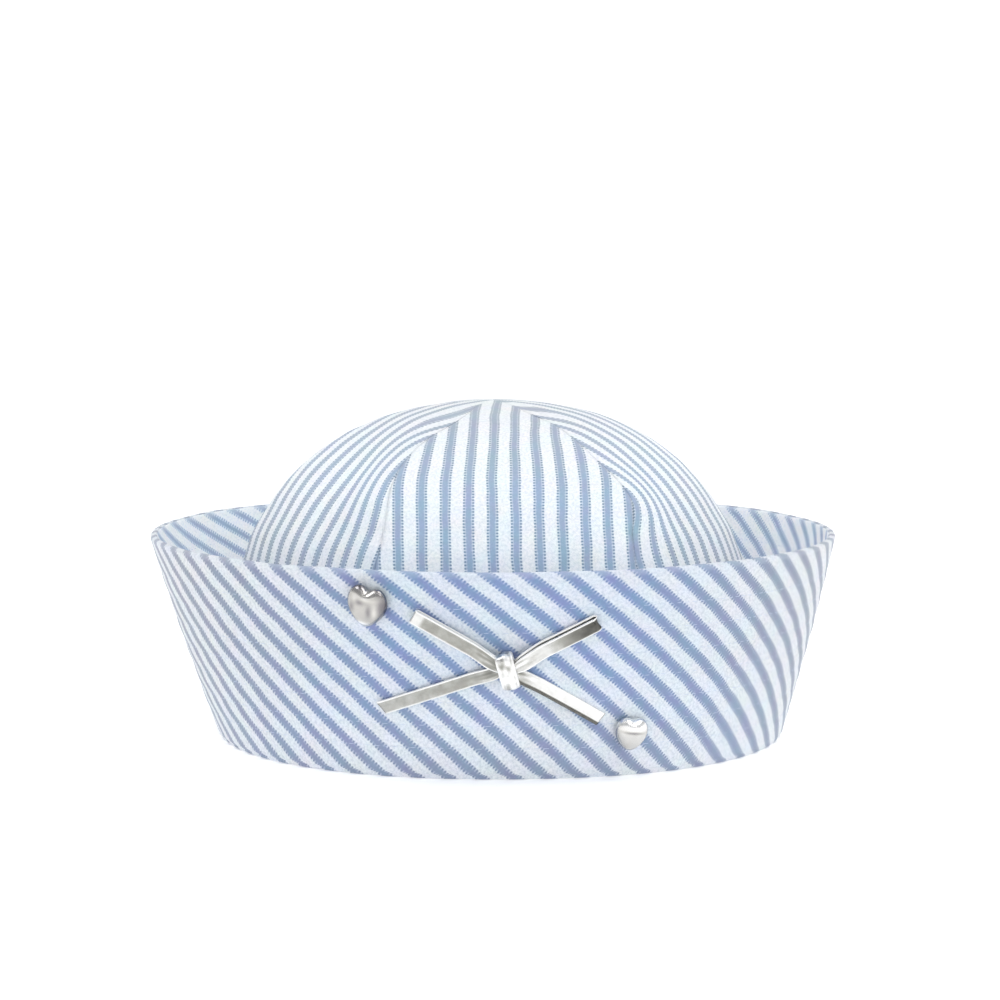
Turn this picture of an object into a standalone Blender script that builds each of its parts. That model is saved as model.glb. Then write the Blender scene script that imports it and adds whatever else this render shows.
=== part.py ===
"""Sailor cap: a six-gore crown of striped cotton with a tall, stiff, turned-up brim.

The cap stands on the fold of its brim. Its front faces -Y, +Z is up, and the origin is on the
floor under the centre of the brim's rim. Angles go round the cap from the front, and grow
towards +X. A strap bow and two puffy hearts are sewn to the front of the brim.
"""

import math
from collections import namedtuple

import bmesh
import bpy
from mathutils import Vector

MM = 0.001

# The whole cap
PLAN_LENGTH = 1.04            # front to back over side to side, as a head is
AXIS_LEAN = 2.5 * MM          # the fold's centre lies this far to +X of the rim's centre
FOLD_SQUARENESS = 2.13        # 2 is a true oval, as the rim is; more is squarer
PIECE_GAP = 0.3 * MM          # left between two pieces that touch

# The brim
FOLD_RADIUS = 95.0 * MM       # outside, at the fold that the cap stands on
RIM_RADIUS = 115.2 * MM       # outside, at the rim
BRIM_RISE = 66.2 * MM         # from the fold up to the rim's outer edge, below its rounding
BRIM_BELLY = 0.6 * MM         # how far the brim bows out halfway up
BRIM_WALL = 2.4 * MM          # two plies and what stiffens them
ROW_COUNT = 7                 # rows of stitching round the brim
ROW_FIRST = 0.157             # the lowest row, as a share of the way from the fold to the rim
ROW_PITCH = 0.115             # and from each row to the next
ROW_DEPTH = 0.25 * MM         # how far a row of stitches pulls the face in
RIM_ROUND_STEPS = 4
FOOT_REACH = 7.5 * MM         # the brim's edge, turned in under the crown
FOOT_CHAMFER = 0.7 * MM
FOLD_ROUND = 1.2 * MM
BRIM_SEGMENTS = 72

# The crown
CLOTH = 1.6 * MM              # one ply with its interlining
GORE_COUNT = 6
GORE_FLATNESS = [             # a gore's middle lies this much nearer the axis than its seams
    0.085,                    # front
    0.045,                    # front right
    0.085,                    # back right
    0.085,                    # back
    0.085,                    # back left
    0.054,                    # front left
]
FLAT_FROM = 4.0 * MM          # height where the gores start to flatten
FLAT_TO = 55.0 * MM           # height where they are as flat as they get
SEAM_GAP = 0.5 * MM
PANEL_ROWS = 18
PANEL_COLUMNS = 8

Section = namedtuple("Section", "height radius")
CROWN_SECTIONS = [            # the outline at the side seams, from the base to the top
    Section(2.7 * MM, 91.4 * MM),
    Section(30.0 * MM, 89.4 * MM),
    Section(52.0 * MM, 86.2 * MM),
    Section(66.0 * MM, 82.2 * MM),
    Section(75.7 * MM, 76.5 * MM),
    Section(83.9 * MM, 70.4 * MM),
    Section(92.1 * MM, 62.2 * MM),
    Section(100.3 * MM, 50.9 * MM),
    Section(106.6 * MM, 37.0 * MM),
    Section(110.0 * MM, 21.5 * MM),
    Section(111.3 * MM, 9.0 * MM),
    Section(111.6 * MM, 0.9 * MM),
]

Lean = namedtuple("Lean", "seam height turn reach")
SEAM_LEANS = [                # where a seam strays round the crown; seam 0 ends the front gore,
    Lean(0, 85.0 * MM, 5.6, 11.0 * MM),         # and seam 5 begins it
    Lean(0, 110.5 * MM, -8.0, 4.0 * MM),
    Lean(5, 93.0 * MM, -2.6, 10.0 * MM),
    Lean(5, 109.0 * MM, 9.0, 5.0 * MM),
]

Dent = namedtuple("Dent", "angle height depth across along slant")
CROWN_DENTS = [               # soft hollows and swells; slant turns the long axis from upright
    Dent(-34.0, 85.0 * MM, -2.2 * MM, 10.0 * MM, 12.0 * MM, -34.0),
    Dent(-60.0, 94.0 * MM, 2.4 * MM, 13.0 * MM, 24.0 * MM, 50.0),
    Dent(-75.0, 104.0 * MM, 0.9 * MM, 22.0 * MM, 9.0 * MM, 0.0),
    Dent(41.0, 66.0 * MM, -2.0 * MM, 10.0 * MM, 22.0 * MM, 0.0),
    Dent(33.0, 93.0 * MM, -0.9 * MM, 9.0 * MM, 9.0 * MM, 0.0),
    Dent(205.0, 86.0 * MM, 1.4 * MM, 10.0 * MM, 18.0 * MM, 15.0),
]

# The bow: flat strap, wider on the arms than where the knot grips it
STRAP_WIDTH = 4.7 * MM
STRAP_WAIST = 3.0 * MM
WAIST_REACH = 6.5 * MM        # from the knot's middle to where the strap is at full width
STACK_REACH = 4.0 * MM        # up to here the plies lie stacked in the knot
STACK_EASE = 9.0 * MM         # and over this length they ease to their own heights
STRAP_THICK = 0.8 * MM
KNOT_ANGLE = -1.5
KNOT_RISE = 0.571             # of the way from the fold to the rim
KNOT_TILT = 15.0
KNOT_WIDTH = 4.4 * MM
KNOT_HALF_HEIGHT = 5.1 * MM
KNOT_HALF_DEPTH = 2.7 * MM
KNOT_STATIONS = 22
KNOT_SQUARENESS = 3.2         # 2 is an ellipse, more is squarer

Layer = namedtuple("Layer", "waist free")
TAIL_LAYER = Layer(2.0 * MM, 1.1 * MM)          # heights over the brim's face, mid-strap
LOOP_BACK_LAYER = Layer(3.1 * MM, 1.0 * MM)
LOOP_FRONT_LAYER = Layer(4.2 * MM, 3.7 * MM)
ARM_STATIONS = 9
FOLD_STATIONS = 5

Arm = namedtuple("Arm", "reach slope")
LOOP_LEFT = Arm(32.3 * MM, 147.0)               # slope of the arm, from +X on the brim's face
LOOP_RIGHT = Arm(32.0 * MM, 28.0)
TAIL_LEFT = Arm(43.6 * MM, 199.8)
TAIL_RIGHT = Arm(36.4 * MM, -31.5)

# The hearts
Heart = namedtuple("Heart", "name angle rise width height tilt "
                            "top_roundness tip_roundness notch_fill")
HEARTS = [                    # a roundness of 0 is a sharp heart, 1 an oval
    Heart("heart_left", -23.0, 0.867, 12.9 * MM, 14.1 * MM, -13.0, 0.38, 0.80, 0.0),
    Heart("heart_right", 20.3, 0.233, 10.8 * MM, 11.5 * MM, -5.0, 0.32, 0.81, 0.15),
]
NOTCH_REACH = 0.45            # how far round from the notch, in radians, its filling goes
HEART_PUFF = 3.9 * MM         # front of the charm, from its widest line
HEART_BACK = 1.3 * MM
HEART_SEAT = 0.2 * MM         # room for the curve of the brim behind the charm
HEART_SEGMENTS = 24
HEART_RINGS = 10


# ------------------------------------------------------------------ scene and materials

def clear_scene():
    for obj in list(bpy.data.objects):
        bpy.data.objects.remove(obj)


def make_material(name, colour, roughness, metallic=0.0):
    material = bpy.data.materials.new(name)
    material.use_nodes = True
    shader = material.node_tree.nodes["Principled BSDF"]
    shader.inputs["Base Color"].default_value = (*colour, 1.0)
    shader.inputs["Roughness"].default_value = roughness
    shader.inputs["Metallic"].default_value = metallic
    return material


def add_object(name, mesh, material, collection):
    mesh.materials.append(material)
    mesh.shade_smooth()
    mesh.set_sharp_from_angle(angle=math.radians(40.0))
    obj = bpy.data.objects.new(name, mesh)
    collection.objects.link(obj)
    return obj


def mesh_from_bmesh(name, bm):
    bm.normal_update()
    bmesh.ops.recalc_face_normals(bm, faces=bm.faces)
    mesh = bpy.data.meshes.new(name)
    bm.to_mesh(mesh)
    bm.free()
    return mesh


def apply_modifiers(obj):
    """Bakes the object's modifiers into its mesh."""
    graph = bpy.context.evaluated_depsgraph_get()
    mesh = bpy.data.meshes.new_from_object(obj.evaluated_get(graph))
    obj.modifiers.clear()
    obj.data = mesh


# ------------------------------------------------------------------ the cap's plan

def smooth_step(x):
    x = min(max(x, 0.0), 1.0)
    return x * x * (3.0 - 2.0 * x)


def plan_point(radius, angle, height):
    """A point on the oval of this radius, at this angle in radians from the front."""
    low = max(0.0, 1.0 - height / BRIM_RISE)
    s, c = math.sin(angle), math.cos(angle)
    square = (abs(s) ** FOLD_SQUARENESS + abs(c) ** FOLD_SQUARENESS) ** (-1.0 / FOLD_SQUARENESS)
    radius *= 1.0 + (square - 1.0) * low
    return Vector((AXIS_LEAN * low + radius * s, -PLAN_LENGTH * radius * c, height))


# ------------------------------------------------------------------ the crown

def spline(rows, place):
    """A smooth curve through the rows, with place from 0 to 1 along the row numbers."""
    at = min(max(place, 0.0), 1.0) * (len(rows) - 1)
    i = min(int(at), len(rows) - 2)
    f = at - i
    before, start, end, after = (rows[min(max(k, 0), len(rows) - 1)] for k in range(i - 1, i + 3))
    return [
        0.5 * (2 * p1 + (p2 - p0) * f + (2 * p0 - 5 * p1 + 4 * p2 - p3) * f * f
               + (3 * p1 - p0 - 3 * p2 + p3) * f ** 3)
        for p0, p1, p2, p3 in zip(before, start, end, after)
    ]


def dent_depth(angle, height, radius):
    """How far the cloth is pushed in here, all dents together."""
    depth = 0.0
    for dent in CROWN_DENTS:
        turn = (math.degrees(angle) - dent.angle + 180.0) % 360.0 - 180.0
        sideways = math.radians(turn) * radius
        upwards = height - dent.height
        slant = math.radians(dent.slant)
        across = (sideways * math.cos(slant) + upwards * math.sin(slant)) / dent.across
        along = (upwards * math.cos(slant) - sideways * math.sin(slant)) / dent.along
        depth += dent.depth * math.exp(-across * across - along * along)
    return depth


def seam_lean(seam, height):
    """How far this seam strays here, as an angle round the crown."""
    turn = 0.0
    for lean in SEAM_LEANS:
        if lean.seam == seam % GORE_COUNT:
            turn += lean.turn * math.exp(-((height - lean.height) / lean.reach) ** 2)
    return math.radians(turn)


def crown_point(gore, share, place):
    """A point of the outer face: share is -1 and 1 at a gore's seams, place 0 to 1 goes up."""
    height, radius = spline(CROWN_SECTIONS, place)
    half_gore = math.pi / GORE_COUNT - 0.5 * SEAM_GAP / radius
    angle = gore * 2.0 * math.pi / GORE_COUNT + share * half_gore
    angle += abs(share) * seam_lean(gore if share > 0.0 else gore - 1, height)
    flatness = GORE_FLATNESS[gore] * smooth_step((height - FLAT_FROM) / (FLAT_TO - FLAT_FROM))
    radius *= 1.0 - flatness * (1.0 - share * share)
    radius -= dent_depth(angle, height, radius)
    return plan_point(radius, angle, height)


def trim_edges(mesh, gore):
    """Brings the inner face's edges back to the two seams and to the plane of the base."""
    gore_angle = gore * 2.0 * math.pi / GORE_COUNT
    for vertex in mesh.vertices:
        vertex.co.z = max(vertex.co.z, CROWN_SECTIONS[0].height)
        centre = plan_point(0.0, 0.0, vertex.co.z)
        across = vertex.co.x - centre.x
        forwards = -vertex.co.y / PLAN_LENGTH
        radius = math.hypot(across, forwards)
        turn = (math.atan2(across, forwards) - gore_angle + math.pi) % (2.0 * math.pi) - math.pi
        half_gore = math.pi / GORE_COUNT - 0.5 * SEAM_GAP / max(radius, SEAM_GAP)
        limit = half_gore + math.copysign(1.0, turn) * seam_lean(
            gore if turn > 0.0 else gore - 1, vertex.co.z)
        if abs(turn) > limit:
            angle = gore_angle + math.copysign(limit, turn)
            vertex.co.x = centre.x + radius * math.sin(angle)
            vertex.co.y = -PLAN_LENGTH * radius * math.cos(angle)


def crown_panel(name, gore, material, collection):
    """One gore: a grid laid on the crown's outer face, then given its thickness inwards."""
    gore_angle = gore * 2.0 * math.pi / GORE_COUNT
    bm = bmesh.new()
    bmesh.ops.create_grid(bm, x_segments=PANEL_COLUMNS, y_segments=PANEL_ROWS, size=1.0)
    for vertex in bm.verts:
        vertex.co = crown_point(gore, vertex.co.x, 0.5 * (vertex.co.y + 1.0))
    for face in bm.faces:
        face.normal_update()
    outwards = Vector((math.sin(gore_angle), -math.cos(gore_angle), 1.0))
    if sum((face.normal * face.calc_area() for face in bm.faces), Vector()).dot(outwards) < 0.0:
        bmesh.ops.reverse_faces(bm, faces=bm.faces)
    mesh = bpy.data.meshes.new(name)
    bm.to_mesh(mesh)
    bm.free()
    panel = add_object(name, mesh, material, collection)
    wall = panel.modifiers.new("cloth", "SOLIDIFY")
    wall.thickness = CLOTH
    wall.offset = -1.0
    apply_modifiers(panel)
    trim_edges(panel.data, gore)
    return panel


def build_crown(material, collection):
    names = ["front", "front_right", "back_right", "back", "back_left", "front_left"]
    for gore, name in enumerate(names):
        crown_panel("crown_panel_" + name, gore, material, collection)


# ------------------------------------------------------------------ the brim

def brim_face(rise):
    """Radius and height of the brim's outer face, without its rows of stitches."""
    belly = BRIM_BELLY * 4.0 * rise * (1.0 - rise)
    return FOLD_RADIUS + (RIM_RADIUS - FOLD_RADIUS) * rise + belly, BRIM_RISE * rise


def brim_section():
    """The brim's closed section as (radius, height), down its outer side first."""
    slope = math.atan2(RIM_RADIUS - FOLD_RADIUS, BRIM_RISE)
    inwards = BRIM_WALL * math.cos(slope)
    downwards = BRIM_WALL * math.sin(slope)
    section = [brim_face(1.0)]
    for row in reversed(range(ROW_COUNT)):
        rise = ROW_FIRST + ROW_PITCH * row
        section.append(brim_face(rise + 0.5 * ROW_PITCH))
        radius, height = brim_face(rise)
        section.append((radius - ROW_DEPTH, height))
    section.append(brim_face(ROW_FIRST - 0.5 * ROW_PITCH))
    for turn in (0.0, 45.0, 90.0):
        angle = math.radians(turn)
        section.append((FOLD_RADIUS - FOLD_ROUND * (1.0 - math.cos(angle)),
                        FOLD_ROUND * (1.0 - math.sin(angle))))
    foot_end = FOLD_RADIUS - FOOT_REACH
    section.append((foot_end + FOOT_CHAMFER, 0.0))
    section.append((foot_end, FOOT_CHAMFER))
    section.append((foot_end, BRIM_WALL - FOOT_CHAMFER))
    section.append((foot_end + FOOT_CHAMFER, BRIM_WALL))
    inner_start = BRIM_WALL / BRIM_RISE
    for step in range(ROW_COUNT + 1):
        rise = inner_start + (1.0 - inner_start) * step / ROW_COUNT
        radius, height = brim_face(rise)
        section.append((radius - inwards, height + downwards * rise))
    inner_radius, inner_height = section[-1]
    outer_radius, outer_height = section[0]
    middle = Vector(((inner_radius + outer_radius) / 2, (inner_height + outer_height) / 2))
    start = Vector((inner_radius, inner_height)) - middle
    for step in range(1, RIM_ROUND_STEPS):
        turn = -math.pi * step / RIM_ROUND_STEPS
        section.append((middle.x + start.x * math.cos(turn) - start.y * math.sin(turn),
                        middle.y + start.x * math.sin(turn) + start.y * math.cos(turn)))
    return section


def build_brim(material, collection):
    """The section turned about the axis, then made oval and leaned like the whole cap."""
    bm = bmesh.new()
    corners = [bm.verts.new((radius, 0.0, height)) for radius, height in brim_section()]
    for index, corner in enumerate(corners):
        bm.edges.new((corner, corners[(index + 1) % len(corners)]))
    mesh = bpy.data.meshes.new("brim")
    bm.to_mesh(mesh)
    bm.free()
    brim = add_object("brim", mesh, material, collection)
    turn = brim.modifiers.new("turn", "SCREW")
    turn.steps = turn.render_steps = BRIM_SEGMENTS
    turn.use_merge_vertices = True
    turn.merge_threshold = 0.01 * MM
    apply_modifiers(brim)
    for vertex in brim.data.vertices:
        radius = math.hypot(vertex.co.x, vertex.co.y)
        angle = math.atan2(vertex.co.x, -vertex.co.y)
        vertex.co = plan_point(radius, angle, vertex.co.z)
    brim.data.shade_smooth()
    brim.data.set_sharp_from_angle(angle=math.radians(50.0))
    return brim


def brim_frame(angle, rise):
    """Point of the brim's outer face with its directions round, up the slope and outwards."""
    def at(turn, climb):
        radius, height = brim_face(climb)
        return plan_point(radius, turn, height)

    step = 0.001
    around = (at(angle + step, rise) - at(angle - step, rise)).normalized()
    upwards = (at(angle, rise + step) - at(angle, rise - step)).normalized()
    outwards = around.cross(upwards).normalized()
    return at(angle, rise), around, upwards, outwards


# ------------------------------------------------------------------ the bow

Station = namedtuple("Station", "centre side width thick")


def on_brim(sideways, upwards, lift):
    """A point near the knot: sideways and upwards on the brim's face, lift off it."""
    radius, _ = brim_face(KNOT_RISE)
    slant = math.hypot(BRIM_RISE, RIM_RADIUS - FOLD_RADIUS)
    angle = math.radians(KNOT_ANGLE) + sideways / radius
    point, around, up, out = brim_frame(angle, KNOT_RISE + upwards / slant)
    return point + out * lift, around, up


def strap_width(distance):
    """The strap is pinched in the knot and widens along the arm."""
    return STRAP_WAIST + (STRAP_WIDTH - STRAP_WAIST) * smooth_step(distance / WAIST_REACH)


def strap_station(distance, slope, lift, middle_slope):
    """A section of strap at this distance from the knot along an arm of this slope."""
    direction = math.radians(slope)
    centre, around, up = on_brim(distance * math.cos(direction), distance * math.sin(direction), lift)
    lying = slope if math.cos(direction) > 0.0 else slope - 180.0
    across = math.radians(middle_slope + (lying - middle_slope) * smooth_step(distance / WAIST_REACH))
    side = up * math.cos(across) - around * math.sin(across)
    return Station(centre, side, strap_width(distance), STRAP_THICK)


def layer_lift(layer, distance):
    free = smooth_step((distance - STACK_REACH) / STACK_EASE)
    return layer.waist + (layer.free - layer.waist) * free


def strap_ply(arm, layer, length, middle_slope):
    """The sections of one ply from the knot outwards, without the one in the knot's middle."""
    stations = []
    for step in range(1, ARM_STATIONS + 1):
        distance = length * step / ARM_STATIONS
        stations.append(strap_station(distance, arm.slope, layer_lift(layer, distance), middle_slope))
    return stations


def loop_arm(arm, middle_slope):
    """Out along the front ply, round the fold at the tip and back along the back ply."""
    radius = 0.5 * (LOOP_FRONT_LAYER.free - LOOP_BACK_LAYER.free)
    straight = arm.reach - radius - 0.5 * STRAP_THICK
    stations = strap_ply(arm, LOOP_FRONT_LAYER, straight, middle_slope)
    for step in range(1, FOLD_STATIONS + 1):
        turn = math.pi * step / (FOLD_STATIONS + 1)
        distance = straight + radius * math.sin(turn)
        lift = LOOP_BACK_LAYER.free + radius * (1.0 + math.cos(turn))
        stations.append(strap_station(distance, arm.slope, lift, middle_slope))
    back = strap_ply(arm, LOOP_BACK_LAYER, straight, middle_slope)
    return stations + back[::-1]


def sweep(name, stations, closed, material, collection):
    """Lofts the strap's flat section, with its corners taken off, through the stations."""
    bm = bmesh.new()
    count = len(stations)
    rings = []
    for index, station in enumerate(stations):
        if closed:
            ahead, behind = stations[(index + 1) % count], stations[index - 1]
        else:
            ahead, behind = stations[min(index + 1, count - 1)], stations[max(index - 1, 0)]
        along = (ahead.centre - behind.centre).normalized()
        face = along.cross(station.side).normalized()
        side = face.cross(along).normalized()
        half, thick = 0.5 * station.width, 0.5 * station.thick
        round_off = 0.5 * thick
        outline = [
            (half, thick - round_off), (half - round_off, thick),
            (round_off - half, thick), (-half, thick - round_off),
            (-half, round_off - thick), (round_off - half, -thick),
            (half - round_off, -thick), (half, round_off - thick),
        ]
        rings.append([bm.verts.new(station.centre + side * a + face * b) for a, b in outline])
    for index in range(count if closed else count - 1):
        here, there = rings[index], rings[(index + 1) % count]
        for k in range(len(here)):
            m = (k + 1) % len(here)
            bm.faces.new((here[k], here[m], there[m], there[k]))
    if not closed:
        bm.faces.new(rings[0])
        bm.faces.new(rings[-1])
    mesh = mesh_from_bmesh(name, bm)
    return add_object(name, mesh, material, collection)


def middle_slope(left, right):
    return 0.5 * (left.slope - 180.0 + right.slope)


def build_bow(material, collection):
    slope = middle_slope(LOOP_LEFT, LOOP_RIGHT)
    front = strap_station(0.0, 0.0, LOOP_FRONT_LAYER.waist, slope)
    back = strap_station(0.0, 0.0, LOOP_BACK_LAYER.waist, slope)
    ring = [front] + loop_arm(LOOP_RIGHT, slope) + [back] + loop_arm(LOOP_LEFT, slope)[::-1]
    sweep("bow_loops", ring, True, material, collection)

    slope = middle_slope(TAIL_LEFT, TAIL_RIGHT)
    left = strap_ply(TAIL_LEFT, TAIL_LAYER, TAIL_LEFT.reach, slope)
    right = strap_ply(TAIL_RIGHT, TAIL_LAYER, TAIL_RIGHT.reach, slope)
    waist = strap_station(0.0, 0.0, TAIL_LAYER.waist, slope)
    sweep("bow_tails", left[::-1] + [waist] + right, False, material, collection)

    sweep("bow_knot", knot_stations(), True, material, collection)


def knot_stations():
    """A short strap wrapped round the plies, tilted, on a path between an oval and a box."""
    middle = PIECE_GAP + 0.5 * STRAP_THICK + KNOT_HALF_DEPTH
    tilt = math.radians(KNOT_TILT)
    stations = []
    for index in range(KNOT_STATIONS):
        turn = 2.0 * math.pi * index / KNOT_STATIONS
        c, s = math.cos(turn), math.sin(turn)
        upwards = KNOT_HALF_HEIGHT * math.copysign(abs(c) ** (2.0 / KNOT_SQUARENESS), c)
        lift = middle + KNOT_HALF_DEPTH * math.copysign(abs(s) ** (2.0 / KNOT_SQUARENESS), s)
        centre, around, up = on_brim(upwards * math.sin(tilt), upwards * math.cos(tilt), lift)
        side = around * math.cos(tilt) - up * math.sin(tilt)
        stations.append(Station(centre, side, KNOT_WIDTH, STRAP_THICK))
    return stations


# ------------------------------------------------------------------ the hearts

def heart_outline(heart, turn):
    """The heart's outline at this turn from its notch, one unit wide and one high."""
    towards_tip = 0.5 - 0.5 * math.cos(turn)
    roundness = heart.top_roundness + (heart.tip_roundness - heart.top_roundness) * towards_tip
    sharp_x = math.sin(turn) ** 3
    sharp_y = (13.0 * math.cos(turn) - 5.0 * math.cos(2.0 * turn)
               - 2.0 * math.cos(3.0 * turn) - math.cos(4.0 * turn) + 2.5) / 14.5
    x = sharp_x + (math.sin(turn) - sharp_x) * roundness
    y = sharp_y + (math.cos(turn) - sharp_y) * roundness
    from_notch = (turn + math.pi) % (2.0 * math.pi) - math.pi
    y += heart.notch_fill * math.exp(-(from_notch / NOTCH_REACH) ** 2)
    return 0.5 * x, 0.5 * y


def build_heart(heart, material, collection):
    """A ball pressed into a heart: its poles face the brim and the viewer."""
    bm = bmesh.new()
    bmesh.ops.create_uvsphere(bm, u_segments=HEART_SEGMENTS, v_segments=HEART_RINGS, radius=1.0)
    point, around, up, out = brim_frame(math.radians(heart.angle), heart.rise)
    tilt = math.radians(heart.tilt)
    right = around * math.cos(tilt) + up * math.sin(tilt)
    top = up * math.cos(tilt) - around * math.sin(tilt)
    for vertex in bm.verts:
        reach = math.hypot(vertex.co.x, vertex.co.y)
        x, y = heart_outline(heart, math.atan2(vertex.co.x, vertex.co.y))
        puff = HEART_PUFF if vertex.co.z > 0.0 else HEART_BACK
        lift = PIECE_GAP + HEART_SEAT + HEART_BACK + vertex.co.z * puff
        sideways, upwards = x * reach * heart.width, y * reach * heart.height
        vertex.co = point + right * sideways + top * upwards + out * lift
    mesh = mesh_from_bmesh(heart.name, bm)
    return add_object(heart.name, mesh, material, collection)


# ------------------------------------------------------------------ the cap

def build_cap():
    clear_scene()
    collection = bpy.data.collections.new("sailor_cap")
    bpy.context.scene.collection.children.link(collection)
    crown_cloth = make_material("crown_cotton", (0.72, 0.78, 0.89), 0.9)
    brim_cloth = make_material("brim_cotton", (0.64, 0.72, 0.87), 0.9)
    strap = make_material("silver_strap", (0.72, 0.72, 0.70), 0.28, 1.0)
    charm = make_material("silver_charm", (0.80, 0.79, 0.77), 0.15, 1.0)
    build_crown(crown_cloth, collection)
    build_brim(brim_cloth, collection)
    build_bow(strap, collection)
    for heart in HEARTS:
        build_heart(heart, charm, collection)


build_cap()
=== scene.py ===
# %% [markdown]
# # A sailor cap of striped cotton ticking
#
# The real cap is sewn from eight cuts of cloth: six pointed gores make the crown, and two long
# bands, row-stitched together, make the tall brim that is turned up all round. A bow of silver
# strap and two small puffy hearts are sewn to the brim's front.
#
# The CAD frame gives every piece its size and its place. This lesson lays a finer skin over each
# of those pieces, gives it its cloth or its metal, and then lights and frames the cap.

# %% Load the frame
import math
from bisect import bisect_left
from collections import namedtuple
from itertools import accumulate

import bmesh
import bpy
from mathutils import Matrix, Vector, noise


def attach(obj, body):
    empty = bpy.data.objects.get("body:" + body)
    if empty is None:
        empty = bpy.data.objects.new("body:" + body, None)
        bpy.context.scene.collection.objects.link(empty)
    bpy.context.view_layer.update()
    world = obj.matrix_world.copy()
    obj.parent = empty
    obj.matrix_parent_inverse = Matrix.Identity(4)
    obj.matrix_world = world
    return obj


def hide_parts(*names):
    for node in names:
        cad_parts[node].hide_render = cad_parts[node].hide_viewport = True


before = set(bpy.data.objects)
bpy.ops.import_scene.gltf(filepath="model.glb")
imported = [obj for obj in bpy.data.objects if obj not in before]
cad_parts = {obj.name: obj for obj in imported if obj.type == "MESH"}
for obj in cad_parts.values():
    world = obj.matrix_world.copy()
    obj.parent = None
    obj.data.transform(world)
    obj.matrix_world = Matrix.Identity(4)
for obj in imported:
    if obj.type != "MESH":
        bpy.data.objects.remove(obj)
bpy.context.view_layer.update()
MM = 0.001
print("pieces in the frame:", ", ".join(sorted(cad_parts)))

# %% [markdown]
# ## Small tools
#
# A hex colour is what a screen shows, and Blender mixes light in linear numbers, so one function
# turns the first into the second. A second function adds a node, sets it, wires it and gives back
# its outputs, which keeps the longer materials readable. A third starts a material, and a fourth
# puts a mesh, a lamp or a camera into the scene.

# %% Colours, nodes, materials and objects
def linear(hex_colour):
    """Turns an sRGB hex colour into the linear numbers that a shader wants."""
    channels = [int(hex_colour[i:i + 2], 16) / 255.0 for i in (1, 3, 5)]
    return tuple(c / 12.92 if c <= 0.04045 else ((c + 0.055) / 1.055) ** 2.4
                 for c in channels) + (1.0,)


def add_node(tree, kind, inputs=(), **settings):
    """Adds a node and returns its outputs. Inputs are given in order, or by name or number."""
    node = tree.nodes.new(kind)
    for name, value in settings.items():
        setattr(node, name, value)
    for key, value in inputs.items() if isinstance(inputs, dict) else enumerate(inputs):
        if isinstance(value, bpy.types.NodeSocket):
            tree.links.new(value, node.inputs[key])
        else:
            node.inputs[key].default_value = value
    return node.outputs


def new_material(name, **shader_inputs):
    material = bpy.data.materials.new(name)
    material.use_nodes = True
    shader = material.node_tree.nodes["Principled BSDF"]
    for key, value in shader_inputs.items():
        shader.inputs[key.replace("_", " ")].default_value = value
    return material, material.node_tree, shader


def put_in_scene(name, data):
    thing = bpy.data.objects.new(name, data)
    bpy.context.scene.collection.objects.link(thing)
    return thing


print("white paper in linear numbers:", [round(c, 3) for c in linear("#F4F4F4")])

# %% [markdown]
# ## The cap's plan
#
# Seen from above the cap is an oval, a little longer than it is wide, as a head is. At the fold
# that it stands on, the stiff brim is a little squarer than at its rim. Every piece is placed by
# this one function, so they all share the same plan. The sizes repeat the CAD part's own.

# %% The plan and the smooth helpers
PLAN_LENGTH = 1.04            # front to back over side to side
AXIS_LEAN = 2.5 * MM          # the fold's centre lies this far to +X of the rim's centre
FOLD_SQUARENESS = 2.13        # 2 is a true oval, more is squarer
BRIM_RISE = 66.2 * MM         # from the fold up to the rim


def smooth_step(x):
    """Goes from 0 to 1 without a corner at either end."""
    x = min(max(x, 0.0), 1.0)
    return x * x * (3.0 - 2.0 * x)


def plan_point(radius, angle, height):
    """A point on the oval of this radius, at this angle in radians from the front."""
    low = max(0.0, 1.0 - height / BRIM_RISE)
    s, c = math.sin(angle), math.cos(angle)
    square = (abs(s) ** FOLD_SQUARENESS + abs(c) ** FOLD_SQUARENESS) ** (-1.0 / FOLD_SQUARENESS)
    radius *= 1.0 + (square - 1.0) * low
    return Vector((AXIS_LEAN * low + radius * s, -PLAN_LENGTH * radius * c, height))


def finish_piece(piece, material, slot, *nodes):
    """Gives a piece its material, and puts it in place of its CAD nodes."""
    piece.data.materials.clear()
    piece.data.materials.append(material)
    piece.data.shade_smooth()
    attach(piece, "root")
    if nodes:
        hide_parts(*nodes)
    print(piece.name, "has", sum(len(face.vertices) - 2 for face in piece.data.polygons),
          "triangles")


print("the plan at the side:", [round(x, 4) for x in plan_point(0.095, math.pi / 2, 0.0)])

# %% [markdown]
# ## Ticking, the striped cloth
#
# Ticking is a dense cotton. Its stripe is woven in, not printed: a band of blue warp threads,
# then a narrow pale strip, then one darker thread that shows as a row of dots where the weft
# passes over it. It looks matt, slightly chalky and faintly uneven.
#
# An image could carry the pattern, but a formula stays sharp at any distance. The cloth's own
# UV map is kept in millimetres of flat cloth, so every size below is a real one.

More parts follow.
